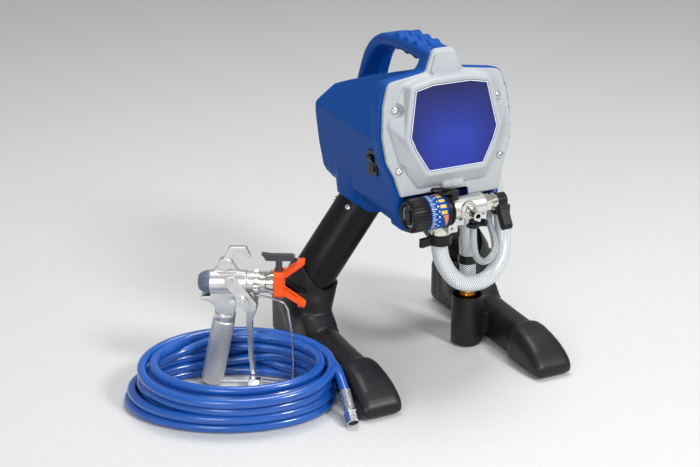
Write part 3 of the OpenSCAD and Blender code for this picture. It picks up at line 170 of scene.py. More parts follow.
print(len(bpy.data.materials), "plastics and prints")

# %% [markdown]
# The name panel is a printed film under a clear gloss coat, set 0.4 mm below the cover's face.
# The print runs from navy at the top to royal blue at the foot and fades at its sides. Nothing is
# printed on it here. Height and breadth across the panel drive the two ramps.

# %% Material: printed panel film
def panel_film():
    material, shader = new_material("printed_panel_film", Roughness=0.36, Coat_Weight=0.25,
                                    Coat_Roughness=0.12)
    place = add(material, "ShaderNodeTexCoord")
    split = add(material, "ShaderNodeSeparateXYZ", {"Vector": (place, "Object")})
    rise = add(material, "ShaderNodeMapRange", {"Value": (split, "Z"), "From Min": 0.312, "From Max": 0.432})
    side = add(material, "ShaderNodeMath", {0: (split, "X"), 1: STAND.x}, operation="SUBTRACT")
    breadth = add(material, "ShaderNodeMath", {0: (side, "Value")}, operation="ABSOLUTE")
    fade = add(material, "ShaderNodeMapRange", {"Value": (breadth, "Value"), "From Min": 0.02,
                                                "From Max": 0.072})
    down = add(material, "ShaderNodeValToRGB", {"Fac": (rise, "Result")},
               stops=[(0.0, "#182A93"), (0.4, "#2038A4"), (1.0, "#101450")])
    print_ink = add(material, "ShaderNodeMix",
                    {"Factor": (fade, "Result"), 6: (down, "Color"), 7: shade("#131C66")}, data_type="RGBA")
    feed(material, shader, "Base Color", print_ink, 2)
    speck = add(material, "ShaderNodeTexNoise", {"Vector": (place, "Object"), "Scale": per_metre(1.2),
                                                 "Detail": 2.0})
    bump = add(material, "ShaderNodeBump", {"Height": (speck, "Fac"), "Strength": 0.04, "Distance": 0.0002})
    feed(material, shader, "Normal", bump, "Normal")
    return material


PANEL_FILM = panel_film()
print("panel film made of", len(PANEL_FILM.node_tree.nodes), "nodes")

# %% [markdown]
# The metal parts are of five kinds. Die-cast aluminium is tumbled, so it is a soft silver with a
# faint orange peel. Turned steel is plated with nickel or zinc and carries fine lathe marks, about
# 0.25 mm apart, drawn at 0.6 mm so that they show. Brass has a yellow zinc plate. The motor's can
# and the yoke are dark phosphated steel. The leg tubes are drawn steel under a satin black powder
# coat, whose peel is about 2 mm across.

# %% Material: metals
def metal(name, colour, drift, roughness, grain_mm, grain):
    material, shader = new_material(name, Metallic=1.0)
    place = add(material, "ShaderNodeTexCoord")
    broad = add(material, "ShaderNodeTexNoise", {"Vector": (place, "Object"), "Scale": per_metre(14),
                                                 "Detail": 4.0})
    fine = add(material, "ShaderNodeTexNoise", {"Vector": (place, "Object"), "Scale": per_metre(grain_mm),
                                                "Detail": 3.0})
    tint = add(material, "ShaderNodeValToRGB", {"Fac": (broad, "Fac")}, stops=[(0.3, colour), (0.7, drift)])
    feed(material, shader, "Base Color", tint, "Color")
    gloss = add(material, "ShaderNodeMapRange", {"Value": (fine, "Fac"), "From Min": 0.25, "From Max": 0.75,
                                                "To Min": roughness - 0.06, "To Max": roughness + 0.07})
    feed(material, shader, "Roughness", gloss, "Result")
    bump = add(material, "ShaderNodeBump", {"Height": (fine, "Fac"), "Strength": grain, "Distance": 0.0002})
    feed(material, shader, "Normal", bump, "Normal")
    return material


CAST_ALUMINIUM = metal("tumbled_cast_aluminium", "#DBDBD9", "#E8E8E6", 0.36, 1.2, 0.12)
NICKEL_STEEL = metal("nickel_plated_steel", "#D2CFC6", "#E2E0D8", 0.18, 0.6, 0.10)
ZINC_STEEL = metal("zinc_plated_steel", "#CBCED2", "#DEE0E3", 0.22, 0.6, 0.12)
YELLOW_BRASS = metal("yellow_zinc_brass", "#D9A23C", "#EFC46C", 0.24, 0.7, 0.12)
DARK_STEEL = metal("phosphated_steel", "#3B3D40", "#4A4C50", 0.42, 0.9, 0.1)
POWDER_COAT = moulded_plastic("satin_black_powder_coat", "#111113", "#161618", 0.4, grain_mm=2.0, grain=0.12,
                              sheen_level=0.25)
print(len(bpy.data.materials), "materials so far")

# %% [markdown]
# Every mesh made here becomes a piece of the machine: it gets one finish, smooth faces with its
# sharp edges kept, and a body to ride on. Where it stands for a CAD node, that node isn't shown.

# %% A piece of the machine
def show(name, mesh, material, body, stands_for=(), sharp=35):
    """Makes a mesh into a piece of the machine that rides on a body."""
    piece = bpy.data.objects.new(name, mesh)
    bpy.context.scene.collection.objects.link(piece)
    mesh.materials.clear()
    mesh.materials.append(material)
    mesh.polygons.foreach_set("use_smooth", [True] * len(mesh.polygons))
    mesh.set_sharp_from_angle(angle=math.radians(sharp))
    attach(piece, body)
    if stands_for:
        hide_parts(*stands_for)


# %% [markdown]
# Tubes, knobs and printed lines are all skins over rings of points: one face between each pair of
# neighbours, and a cap on each end. A skin keeps a length-wise UV in metres, so that a braid can
# be laid on it at its true size.

# %% Skins over rings
def skin(name, rings, caps=True, loop=False):
    """A mesh over rings of points that all have the same count, with UV (around, along)."""
    n, rows = len(rings[0]), len(rings)
    verts = [p for ring in rings for p in ring]
    run = [0.0]
    for a, b in zip(rings, rings[1:]):
        run.append(run[-1] + (sum(b, Vector()) / n - sum(a, Vector()) / n).length)
    faces, coords = [], []
    for j in range(rows if loop else rows - 1):
        k = (j + 1) % rows
        far = run[j + 1] if j + 1 < rows else run[j] + (run[1] - run[0])
        for i in range(n):
            e = (i + 1) % n
            faces.append((j * n + i, j * n + e, k * n + e, k * n + i))
            coords.append(((i / n, run[j]), ((i + 1) / n, run[j]), ((i + 1) / n, far), (i / n, far)))
    if caps and not loop:
        faces.append(tuple(reversed(range(n))))
        coords.append(((0, 0),) * n)
        faces.append(tuple((rows - 1) * n + i for i in range(n)))
        coords.append(((0, 0),) * n)
    mesh = bpy.data.meshes.new(name)
    mesh.from_pydata(verts, [], faces)
    layer = mesh.uv_layers.new(name="run")
    layer.data.foreach_set("uv", [c for face in coords for uv in face for c in uv])
    outward(mesh)
    return mesh


def outward(mesh):
    """Turns every face outwards."""
    work = bmesh.new()
    work.from_mesh(mesh)
    bmesh.ops.recalc_face_normals(work, faces=work.faces)
    work.to_mesh(mesh)
    work.free()


# %% [markdown]
# Hoses and beads follow a few given points. A Catmull-Rom curve passes through each of them
# without a kink, and points an even step apart give faces of an even size.

# %% Lines and the circles along them
def smooth_line(points, step):
    """A Catmull-Rom line through the points, sampled evenly."""
    pts = [Vector(p) for p in points]
    pts = [pts[0] * 2 - pts[1]] + pts + [pts[-1] * 2 - pts[-2]]
    dense = []
    for a, b, c, d in zip(pts, pts[1:], pts[2:], pts[3:]):
        for i in range(24):
            t = i / 24
            dense.append(0.5 * ((2 * b) + (c - a) * t + (2 * a - 5 * b + 4 * c - d) * t * t
                                + (3 * b - a - 3 * c + d) * t ** 3))
    dense.append(pts[-2])
    return even(dense, step)


def even(dense, step):
    """The same line with its points an even step apart."""
    at = np.array(dense, float)
    run = np.concatenate([[0], np.cumsum(np.linalg.norm(np.diff(at, axis=0), axis=1))])
    count = max(2, round(run[-1] / step) + 1)
    want = np.linspace(0, run[-1], count)
    return [Vector(p) for p in np.stack([np.interp(want, run, at[:, k]) for k in range(3)], axis=1)]


def circles(line, radius, sides, start=(1, 0, 0)):
    """Rings of points round a line; radius may vary along it."""
    rings, side = [], Vector(start)
    for i, p in enumerate(line):
        ahead = (line[min(i + 1, len(line) - 1)] - line[max(i - 1, 0)]).normalized()
        side = (side - ahead * side.dot(ahead)).normalized()
        up = ahead.cross(side)
        r = radius[i] if hasattr(radius, "__len__") else radius
        rings.append([p + (side * math.cos(a) + up * math.sin(a)) * r
                      for a in (2 * math.pi * k / sides for k in range(sides))])
    return rings


# %% [markdown]
# Round pieces come off a lathe: an outline of (x, radius) is turned about X, and a squeeze may
# change the radius with the angle. Flat pieces are outlines pushed through like a pastry cutter.

# %% Lathe, slab and joined meshes
def turned(profile, sides, squeeze=lambda r, a: r):
    """Rings for a lathed shape about X; profile is (x, radius) in millimetres."""
    return [[Vector((x, squeeze(r, a) * math.cos(a), squeeze(r, a) * math.sin(a))) * MM
             for a in (2 * math.pi * k / sides for k in range(sides))] for x, r in profile]


def placed(mesh, matrix):
    mesh.transform(matrix)
    return mesh


def slab(outline, low, high, edge):
    """An outline of (x, z) extruded along Y with its edges rounded; millimetres."""
    work = bmesh.new()
    face = work.faces.new([work.verts.new(Vector((x, low, z)) * MM) for x, z in outline])
    moved = bmesh.ops.extrude_face_region(work, geom=[face])["geom"]
    corners = [g for g in moved if isinstance(g, bmesh.types.BMVert)]
    bmesh.ops.translate(work, vec=(0, (high - low) * MM, 0), verts=corners)
    bmesh.ops.bevel(work, geom=list(work.edges), offset=edge * MM, segments=3, profile=0.5, affect="EDGES",
                    clamp_overlap=True)
    bmesh.ops.recalc_face_normals(work, faces=work.faces)
    mesh = bpy.data.meshes.new("slab")
    work.to_mesh(mesh)
    work.free()
    return mesh


def joined(name, meshes):
    """One mesh from several closed ones."""
    work = bmesh.new()
    for mesh in meshes:
        work.from_mesh(mesh)
    whole = bpy.data.meshes.new(name)
    work.to_mesh(whole)
    work.free()
    return whole


# %% [markdown]
# The CAD solids keep their form, but real edges are never perfectly sharp. Machined and pressed
# pieces get a narrow bevel. Cast and moulded ones are remeshed finely and relaxed a little, which
# rounds every edge and blends one form into the next.

# %% Finishing the CAD solids
def finish_node(name, material):
    """Gives a CAD node its finish and smooth shading."""
    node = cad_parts[name]
    node.data.materials.clear()
    node.data.materials.append(material)
    node.data.polygons.foreach_set("use_smooth", [True] * len(node.data.polygons))
    return node


def ease_edges(name, material, width):
    """A machined or pressed piece: its CAD solid with its edges broken."""
    node = finish_node(name, material)
    weld = node.modifiers.new("weld", "WELD")
    weld.merge_threshold = 2e-6
    bevel = node.modifiers.new("edges", "BEVEL")
    bevel.width = width * MM
    bevel.segments = 2
    bevel.limit_method = "ANGLE"
    bevel.angle_limit = math.radians(38)
    bevel.use_clamp_overlap = True
    normals = node.modifiers.new("normals", "WEIGHTED_NORMAL")
    normals.keep_sharp = True


def soften(name, material, voxel, rounds):
    """A cast or moulded piece: its CAD solid remeshed finely, then relaxed so that edges are round."""
    node = finish_node(name, material)
    weld = node.modifiers.new("weld", "WELD")
    weld.merge_threshold = 2e-6
    remesh = node.modifiers.new("skin", "REMESH")
    remesh.mode = "VOXEL"
    remesh.voxel_size = voxel * MM
    remesh.use_smooth_shade = True
    relax = node.modifiers.new("relax", "SMOOTH")
    relax.factor = 0.5
    relax.iterations = rounds


print(len(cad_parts), "CAD solids to finish")

# %% [markdown]
# The airless hose is nylon tube under a braid and a glossy polyurethane cover, 13.5 mm across.
# The cover is smooth and clear-coated, so lamps draw long narrow streaks on it, and the braid
# beneath telegraphs through as a ripple about 2.5 mm long.

# %% Material: hose cover
def hose_cover():
    material, shader = new_material("blue_polyurethane_cover", Roughness=0.3, IOR=1.5, Coat_Weight=0.7,
                                    Coat_Roughness=0.05)
    place = add(material, "ShaderNodeTexCoord")
    broad = add(material, "ShaderNodeTexNoise", {"Vector": (place, "Object"), "Scale": per_metre(60),
                                                 "Detail": 2.0})
    weave = add(material, "ShaderNodeTexNoise", {"Vector": (place, "Object"), "Scale": per_metre(2.5),
                                                 "Detail": 2.0})
    tint = add(material, "ShaderNodeValToRGB", {"Fac": (broad, "Fac")},
               stops=[(0.3, "#0850AA"), (0.7, "#0B5AB8")])
    feed(material, shader, "Base Color", tint, "Color")
    bump = add(material, "ShaderNodeBump", {"Height": (weave, "Fac"), "Strength": 0.08, "Distance": 0.0003})
    feed(material, shader, "Normal", bump, "Normal")
    return material


HOSE_BLUE = hose_cover()
print("hose cover made of", len(HOSE_BLUE.node_tree.nodes), "nodes")

# %% [markdown]
# The hose was coiled by hand in layers of two turns, so rows bulge, slip sideways and lean on the
# ones below. A real coil is one unbroken line, so it is drawn as one: each turn has its own oval,
# and the hose climbs from one to the next at the back, a little earlier on every turn.

# %% Where the coil runs
HOSE_R = 6.75
INNER_END, INNER_TURN = (-227.5, -42.5, 9), math.radians(140)
OUTER_END, OUTER_TURN, OUTER_PITCH = (-178, -136.5, 34.8), math.radians(-99.6), math.radians(33.7)
LEAVE = math.radians(20)
# centre x, centre y, half length, half width, height, rise towards the back
TURNS = [(-300, -33, 124, 80, 6.8, 0), (-302, -31.6, 139.8, 90.3, 6.8, 0),
         (-299.3, -31.3, 136.8, 93.6, 20.2, 0), (-299, -32, 122, 80, 18.8, 0),
         (-299, -31, 124, 83, 30.6, 0), (-292, -32.3, 127.5, 95.2, 33.2, 1),
         (-294, -31, 117, 79, 42.6, 0), (-290.5, -31, 114.8, 80.5, 54.5, 1),
         (-293.1, -35.3, 130.3, 97.2, 52.5, 6.5)]


def ease(t):
    t = min(max(t, 0), 1)
    return t * t * (3 - 2 * t)


def coil_point(turns):
    """The hose's centre after so many turns, in millimetres from the stand."""
    i = min(int(turns), len(TURNS) - 1)
    change = 0.93 - 0.034 * i
    f = ease((turns - i - change + 0.05) / 0.1)
    after = min(i + 1, len(TURNS) - 1)
    if turns - i < 0.1 and i:
        f = 0.0
    x, y, a, b, height, rise = (p + (q - p) * f for p, q in zip(TURNS[i], TURNS[after]))
    angle = LEAVE - 2 * math.pi * turns
    wobble = noise.noise(Vector((math.cos(angle) * 1.3, math.sin(angle) * 1.3, turns * 0.9))) * 1.2
    local = Vector(((a + wobble) * math.cos(angle), (b + wobble) * math.sin(angle), 0))
    local.rotate(Matrix.Rotation(COIL_TURN, 3, "Z"))
    return local + Vector((x, y, height + rise * math.sin(angle)))


print("the first turn starts at", [round(v) for v in coil_point(0)], "mm")

# %% [markdown]
# A pressure hose is stiff, so neither free end may kink. The inner one bends round in an arc of
# 46 mm until it lies along the ring. The outer one drops from the ring's top in an arc of 90 mm.

# %% The hose's two free ends
def inner_way(run, radius=46):
    """The hose so far from its inner end: it bends round to lie along the ring."""
    out = Vector((-math.cos(INNER_TURN), -math.sin(INNER_TURN), 0))
    right = Vector((out.y, -out.x, 0))
    bend = run / radius
    sink = Vector((0, 0, (6.8 - INNER_END[2]) * ease(run / 50)))
    return Vector(INNER_END) + (out * math.sin(bend) + right * (1 - math.cos(bend))) * radius + sink


def outer_way(back, radius=90):
    """The hose so far before its outer end: it drops from the ring's top in one arc."""
    pitch = OUTER_PITCH - back / radius
    level = radius * (math.sin(OUTER_PITCH) - math.sin(pitch))
    rise = radius * (math.cos(pitch) - math.cos(OUTER_PITCH))
    return Vector(OUTER_END) - Vector((math.cos(OUTER_TURN) * level, math.sin(OUTER_TURN) * level, -rise))


inner_lead = [inner_way(run) for run in (0, 8, 16, 30, 45, 60, 75, 90, 104)]
outer_lead = [outer_way(back) for back in (45, 30, 15, 6, 0)]
print("free ends of", len(inner_lead), "and", len(outer_lead), "points")

# %% [markdown]
# The ends and the turns are strung into one line, which is smoothed and given a round section as
# a curve.

# %% The airless hose
START, STOP, COIL_STEPS = 0.12, len(TURNS), 620
coil_line = [coil_point(START + (STOP - START) * k / COIL_STEPS) for k in range(COIL_STEPS + 1)]
hose_points = smooth_line(inner_lead + coil_line[6::4] + outer_lead, 5)
for _ in range(3):
    middle = [(a + 2 * b + c) / 4 for a, b, c in zip(hose_points, hose_points[1:], hose_points[2:])]
    hose_points = [hose_points[0]] + middle + [hose_points[-1]]
hose_curve = bpy.data.curves.new("airless_hose", "CURVE")
hose_curve.dimensions = "3D"
hose_curve.bevel_depth = HOSE_R * MM
hose_curve.bevel_resolution = 6
hose_curve.use_fill_caps = True
spline = hose_curve.splines.new("POLY")
spline.points.add(len(hose_points) - 1)
for point, at in zip(spline.points, hose_points):
    point.co = (*(at * MM + STAND), 1)
spline.use_smooth = True
hose_curve.materials.append(HOSE_BLUE)
airless_hose = bpy.data.objects.new("airless_hose", hose_curve)
bpy.context.scene.collection.objects.link(airless_hose)
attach(airless_hose, "stand")
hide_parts("hose_coil", "outer_hose_tail", "inner_hose_tail")

# %% [markdown]
# The suction hose is clear PVC with a white polyester braid under its skin. The braid has 16
# yarns each way, one turn in 52 mm, so small clear diamonds show between them. Two triangle waves
# run over the hose's own length and girth, and the larger one is the yarn on top.

# %% Material: braided PVC
def braided_pvc(yarns=16, lay=0.052):
    material, shader = new_material("braided_clear_pvc", Roughness=0.22, IOR=1.53, Coat_Weight=0.5,
                                    Coat_Roughness=0.08)
    where = add(material, "ShaderNodeUVMap", uv_map="run")
    split = add(material, "ShaderNodeSeparateXYZ", {"Vector": (where, "UV")})
    waves = []
    for sign in (1, -1):
        turn = add(material, "ShaderNodeMath", {0: (split, "Y"), 1: sign / lay, 2: (split, "X")},
                   operation="MULTIPLY_ADD")
        count = add(material, "ShaderNodeMath", {0: (turn, "Value"), 1: yarns}, operation="MULTIPLY")
        waves.append(add(material, "ShaderNodeMath", {0: (count, "Value"), 1: 0.5}, operation="PINGPONG"))
    yarn = add(material, "ShaderNodeMath", {0: (waves[0], "Value"), 1: (waves[1], "Value")},
               operation="MAXIMUM")
    tint = add(material, "ShaderNodeValToRGB", {"Fac": (yarn, "Value")},
               stops=[(0.12, "#3C4A57"), (0.27, "#BFC8CC"), (0.42, "#ECEEEF")])
    feed(material, shader, "Base Color", tint, "Color")
    bump = add(material, "ShaderNodeBump", {"Height": (yarn, "Value"), "Strength": 0.25, "Distance": 0.0004})
    feed(material, shader, "Normal", bump, "Normal")
    return material


BRAIDED_PVC = braided_pvc()
print("braid made of", len(BRAIDED_PVC.node_tree.nodes), "nodes")

# %% [markdown]
# The drain tube is plain extruded vinyl, clear with a milky cast. Light passes through it, so the
# tube is modelled with its bore, and a faint unevenness of the wall bends what shows behind it.

# %% Material: clear vinyl
def clear_vinyl():
    material, shader = new_material("clear_vinyl_tube", Roughness=0.1, IOR=1.5, Transmission_Weight=0.7,
                                    Coat_Weight=0.4)
    place = add(material, "ShaderNodeTexCoord")
    haze = add(material, "ShaderNodeTexNoise", {"Vector": (place, "Object"), "Scale": per_metre(18),
                                                "Detail": 2.0})
    tint = add(material, "ShaderNodeValToRGB", {"Fac": (haze, "Fac")},
               stops=[(0.3, "#D9E0E2"), (0.7, "#EEF2F3")])
    feed(material, shader, "Base Color", tint, "Color")
    bump = add(material, "ShaderNodeBump", {"Height": (haze, "Fac"), "Strength": 0.1, "Distance": 0.0004})
    feed(material, shader, "Normal", bump, "Normal")
    return material


CLEAR_VINYL = clear_vinyl()
print("vinyl made of", len(CLEAR_VINYL.node_tree.nodes), "nodes")

# %% [markdown]
# Both tubes run from the pump, round behind the machine and down into the drip cup. Their routes
# are the CAD's own points, so the clips sit on them, and each is measured along its line.

# %% Suction hose and drain tube
SUCTION_R, DRAIN_R, DRAIN_BORE_R = 11.75, 4.75, 3.3
SUCTION_ROUTE = [(0, -72, 195.5), (0, -72, 189), (3, -75, 170), (13, -80, 150), (26, -84, 137),
                 (45, -86, 131), (67, -84, 131), (86, -78, 139), (102, -70, 154), (111, -60, 173),
                 (114, -52, 195), (114, -45, 218), (110, -40, 238), (107, -37, 258), (103, -34, 282),
                 (98, -28, 302), (94, -14, 314), (91, 2, 308), (90, 8, 288), (89, 8, 262),
                 (88, 4, 235), (85, -1, 205), (83, -5, 171), (83, -9, 136), (83, -12, 104),
                 (83, -12, 96)]
DRAIN_ROUTE = [(30, -112, 228), (30, -112, 221), (31, -112, 204), (36, -111, 184), (48, -107, 172),
               (64, -99, 169), (80, -88, 177), (91, -66, 187), (99, -40, 200), (107, -28, 218),
               (106, -14, 236), (106, 2, 240), (104, 11, 226), (102, 10, 196), (101, 7, 160),
               (99, 3, 127), (97, -1, 98)]


def stand_line(route, gap_mm):
    return [p * MM + STAND for p in smooth_line(route, gap_mm)]


suction_line = stand_line(SUCTION_ROUTE, 4)
show("suction_hose_braided", skin("suction_hose_braided", circles(suction_line, SUCTION_R * MM, 56)),
     BRAIDED_PVC, "stand", ["suction_hose"])
drain_line = stand_line(DRAIN_ROUTE, 3)
outer, inner = (circles(drain_line, r * MM, 28) for r in (DRAIN_R, DRAIN_BORE_R))
show("drain_tube_clear", skin("drain_tube_clear", outer + inner[::-1], caps=False, loop=True), CLEAR_VINYL,
     "stand", ["drain_tube"])
print("suction hose", round(sum((b - a).length for a, b in zip(suction_line, suction_line[1:])), 3), "m")
print("drain tube", round(sum((b - a).length for a, b in zip(drain_line, drain_line[1:])), 3), "m")

# %% [markdown]
# The large mouldings keep their CAD form, with every edge rounded as a mould would leave it. A
# fine remesh and a short relaxing pass round edges and blend one form into the next. The shroud's
# vents are the exception: they are open slots in the CAD, and a voxel of 1.65 mm, chosen for the
# number of faces, is too coarse for them, so the remesh closes them all. That is a known fault.

# %% Shroud, cover and stand
soften("left_enclosure", BLUE_ABS, 1.65, 3)
soften("right_enclosure", BLUE_ABS, 1.65, 3)
soften("front_cover", GREY_ABS, 1.03, 2)
soften("left_foot", BLACK_NYLON, 2.0, 12)
soften("right_foot", BLACK_NYLON, 2.0, 12)
ease_edges("left_leg", POWDER_COAT, 0.6)
ease_edges("right_leg", POWDER_COAT, 0.6)
ease_edges("foot_pads", PAD_RUBBER, 0.8)
ease_edges("drip_cup", BLACK_NYLON, 0.7)
for screws in ("leg_screws", "cover_screws", "trigger_screws"):
    ease_edges(screws, ZINC_STEEL, 0.25)
ease_edges("switch_bezel", SWITCH_ABS, 0.6)
ease_edges("switch_rocker", SWITCH_ABS, 0.5)
ease_edges("cord_gland", BLACK_ABS, 0.5)
print("shroud, cover and stand finished")

# %% [markdown]
# Where the foot's arm runs into the boot the moulding has a fine raised seam, which shows as a
# light line. It follows the arm's own outline: rays from the front along the arm, just outside
# it, find the boot's face, and a thin bead lies there.

# %% Boot seams
ARM_X, ARM_HALF, ARM_TOP, ARM_ROUND, ARM_FOOT = 136, 26.5, 56, 22, 12


def arch(half, top, radius, foot):
    """The arm's outline from one foot over its rounded top to the other; (x, z) in millimetres."""
    right = [(half, foot), (half, (foot + top - radius) / 2)]
    right += [(half - radius + radius * math.cos(a), top - radius + radius * math.sin(a))
              for a in (math.pi / 2 * k / 6 for k in range(7))]
    return right + [(-x, z) for x, z in reversed(right)]


def boot_seam(name, foot, side):
    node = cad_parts[foot]
    mesh = node.data
    tree = BVHTree.FromPolygons([v.co for v in mesh.vertices], [p.vertices for p in mesh.polygons])
    line = []
    for x, z in arch(ARM_HALF, ARM_TOP, ARM_ROUND, ARM_FOOT):
        start = STAND + Vector((side * ARM_X + x, 5, z)) * MM
        hit = tree.ray_cast(start, Vector((0, 1, 0)), 0.06)[0]
        if hit:
            line.append((hit - Vector((0, 0.15, 0)) * MM) / MM)
    bead = [p * MM for p in smooth_line(line, 2)]
    show(name, skin(name, circles(bead, 0.55 * MM, 8, (0, 1, 0))), BLACK_NYLON, "stand")
    return len(line)


for side_name, side in (("left", -1), ("right", 1)):
    print(side_name, "seam points", boot_seam(f"{side_name}_boot_seam", f"{side_name}_foot", side))

# %% [markdown]
# The drive and the pump's insides are out of sight in the housing, but they move, so each keeps
# its CAD solid with its own metal or plastic. Only smooth shading with crisp edges is needed.

# %% Drive and pump insides
INSIDES = {CAST_ALUMINIUM: ("drive_housing", "motor_end_bell"), DARK_STEEL: ("motor_can", "drive_yoke"),
           ZINC_STEEL: ("motor_shaft", "guide_rods"), BLACK_NYLON: ("cooling_fan",),
           NATURAL_NYLON: ("crank_gear",), PACKING: ("throat_packing", "gun_filter"),
           NICKEL_STEEL: ("piston_rod", "pump_cylinder", "inlet_ball", "gun_needle", "pressure_stem")}
for material, names in INSIDES.items():
    for name in names:
        finish_node(name, material).data.set_sharp_from_angle(angle=math.radians(35))
print("drive and pump insides finished")

# %% [markdown]
# At the front the manifold is one tumbled aluminium casting, so it is softened. The valves, nuts
# and clips around it are turned or moulded, with narrow broken edges.

# %% Pump front
soften("pump_manifold", CAST_ALUMINIUM, 0.6, 3)
ease_edges("inlet_valve", NICKEL_STEEL, 0.4)
ease_edges("wing_nut", BLACK_ABS, 0.8)
ease_edges("outlet_nipple", NICKEL_STEEL, 0.35)
ease_edges("knob_band", BLUE_ABS, 0.3)
ease_edges("pressure_collar", BLACK_ABS, 0.4)
ease_edges("prime_valve", NICKEL_STEEL, 0.4)
soften("prime_lever", BLACK_ABS, 0.5, 4)
ease_edges("drain_barb", BLACK_ABS, 0.3)
ease_edges("hose_clips", BLACK_ABS, 0.4)
ease_edges("suction_fitting", YELLOW_BRASS, 0.5)
ease_edges("hose_sleeves", ZINC_STEEL, 0.3)
ease_edges("hose_nuts", ZINC_STEEL, 0.5)
print("pump front finished")

# %% [markdown]
# The pressure knob is a moulded ABS cap with a ribbed barrel, a rounded rim and a dished face with
# a three-lobed boss. A lathe outline gives the form, and the radius dips once per rib.

# %% Pressure knob
VALVE_AXIS = Matrix.Translation(STAND + Vector((0, -112, 261)) * MM)
KNOB_FACE, BAND_R, RIBS = -74, 23.2, 30


def ribbed(radius, angle):
    dip = max(0.0, math.cos(RIBS * angle) - 0.35) / 0.65
    return radius - (0.95 * dip if radius > 22.4 else 0)


def three_lobed(radius, angle):
    return radius * (1 + 0.22 * math.cos(3 * angle))


knob_outline = [(3.2, 1), (3.2, 15.4), (2.6, 15.9), (0.7, 16.6), (0.1, 17.4), (0, 18.6), (0.2, 20.2),
                (0.9, 21.5), (2.1, 22.4), (3.0, 22.9), (3.6, 23.4), (14, 23.5), (24.4, 23.4), (25.2, 22.9),
                (25.8, 22.2), (25.8, 6)]
knob = turned([(KNOB_FACE + x, r) for x, r in knob_outline], 480, ribbed)
show("pressure_knob_ribbed", placed(skin("pressure_knob_ribbed", knob), VALVE_AXIS), BLACK_ABS,
     "pressure_control", ["pressure_knob"])
boss_outline = [(3.3, 8), (1.5, 7.8), (1.0, 7.2), (0.8, 5), (0.8, 1)]
boss = turned([(KNOB_FACE + x, r) for x, r in boss_outline], 96, three_lobed)
show("pressure_knob_boss", placed(skin("pressure_knob_boss", boss), VALVE_AXIS), BLACK_ABS,
     "pressure_control")
print("knob with", RIBS, "ribs")

# %% [markdown]
# The turning arrows and the scale are pad-printed, so they are skins a twentieth of a millimetre
# thick. The scale is a plain one: ticks, dashes and blocks that show how far the knob has turned.

# %% Printed scale and turning arrows
def patch(x0, x1, low, high, radius, thick=0.05):
    """A thin print on the band, between two angles in degrees above the front."""
    steps = max(2, math.ceil((high - low) / 4) + 1)
    rings = []
    for k in range(steps):
        a = math.radians(low + (high - low) * k / (steps - 1))
        rings.append([Vector((x, -r * math.cos(a), r * math.sin(a))) * MM
                      for x, r in ((x0, radius), (x1, radius), (x1, radius + thick), (x0, radius + thick))])
    return skin("patch", rings)


def arc(inner, outer, low, high, x, thick=0.05):
    """A thin print on the knob's face, between two angles in degrees."""
    rings = []
    for k in range(13):
        a = math.radians(low + (high - low) * k / 12)
        rings.append([Vector((at, -r * math.cos(a), r * math.sin(a))) * MM
                      for at, r in ((x, inner), (x, outer), (x - thick, outer), (x - thick, inner))])
    return skin("arc", rings)


def band_print(name, patches, material):
    show(name, placed(joined(name, patches), VALVE_AXIS), material, "pressure_control")


SCALE_START, TICK_PITCH, TICK_X = -42, 6, -46.5
ticks = []
for k in range(25):
    length, width = (7.5, 2.2) if k % 3 == 0 else (4.5, 1.4)
    low = SCALE_START + TICK_PITCH * k
    ticks.append(patch(TICK_X, TICK_X + length, low, low + width, BAND_R))
dashes = [patch(-37.5 + 1.1 * (k % 2), -35.2, -36 + 18 * k, -30 + 18 * k, BAND_R) for k in range(8)]
band_print("scale_ticks", ticks + dashes, PRINT_WHITE)
blocks = [patch(-33, -24.5, low, low + 11, BAND_R) for low in (10, 31, 52, 73)]
band_print("scale_blocks", blocks, PRINT_YELLOW)
wedge = []
for k in range(8):
    low = SCALE_START + TICK_PITCH * k
    wedge.append(patch(-24 - 0.85 * k, -23.2, low, low + TICK_PITCH, BAND_R))
band_print("scale_wedge", wedge + [patch(-33, -24.5, 92, 101, BAND_R)], PRINT_ORANGE)
arrows = [arc(13.6, 14.7, low, low + 74, KNOB_FACE + 3.2) for low in (20, 140, 260)]
band_print("turning_arrows", arrows, PRINT_WHITE)
print("scale with", len(ticks), "ticks and", len(dashes), "dashes")

# %% [markdown]
# The pump latch is a small nylon lever: a foot on the pump, a flat paddle for the thumb and a thin
# hook that reaches over the cover. Three extruded outlines with rounded edges keep it crisp.

# %% Pump latch
LATCH_FOOT = [(-9, 275), (1, 275), (1, 286), (-9, 288)]
LATCH_PADDLE = [(1, 285.3), (1, 288.6), (-14, 288.8), (-25, 287.2), (-25, 285.9), (-14, 285.6)]
LATCH_HOOK = [(-4, 286), (-4, 289), (-20, 293.5), (-34, 295.5), (-38, 293), (-37, 290), (-33, 292),
              (-20, 290)]
latch = [slab(LATCH_FOOT, -119, -109, 1.0), slab(LATCH_PADDLE, -122, -109, 0.6),
         slab(LATCH_HOOK, -114, -109.5, 0.7)]
show("pump_latch_lever", placed(joined("pump_latch_lever", latch), Matrix.Translation(STAND)), BLACK_ABS,
     "stand", ["pump_latch"])
print("latch of", len(latch), "slabs")

# %% [markdown]
# In the CAD solid the corner of the drive's passage breaks through the shroud's wall where the
# shroud narrows behind the frame, on both sides. A real shroud's wall is whole there. So a small
# slab follows the slope over each opening, a millimetre proud of the wall, and closes it.

# %% Shoulder pads
PAD = [(45.5, 384.5), (49.8, 385.2), (40.6, 401.2), (37.5, 400)]
for name, side in (("right_shoulder_pad", 1), ("left_shoulder_pad", -1)):
    pad = slab([(side * x, z) for x, z in PAD], -46, -31, 0.8)
    show(name, placed(pad, Matrix.Translation((STAND.x, 0, 0))), BLUE_ABS, "stand")
print("shoulder pads", round((Vector(PAD[1]) - Vector(PAD[2])).length, 1), "mm tall")

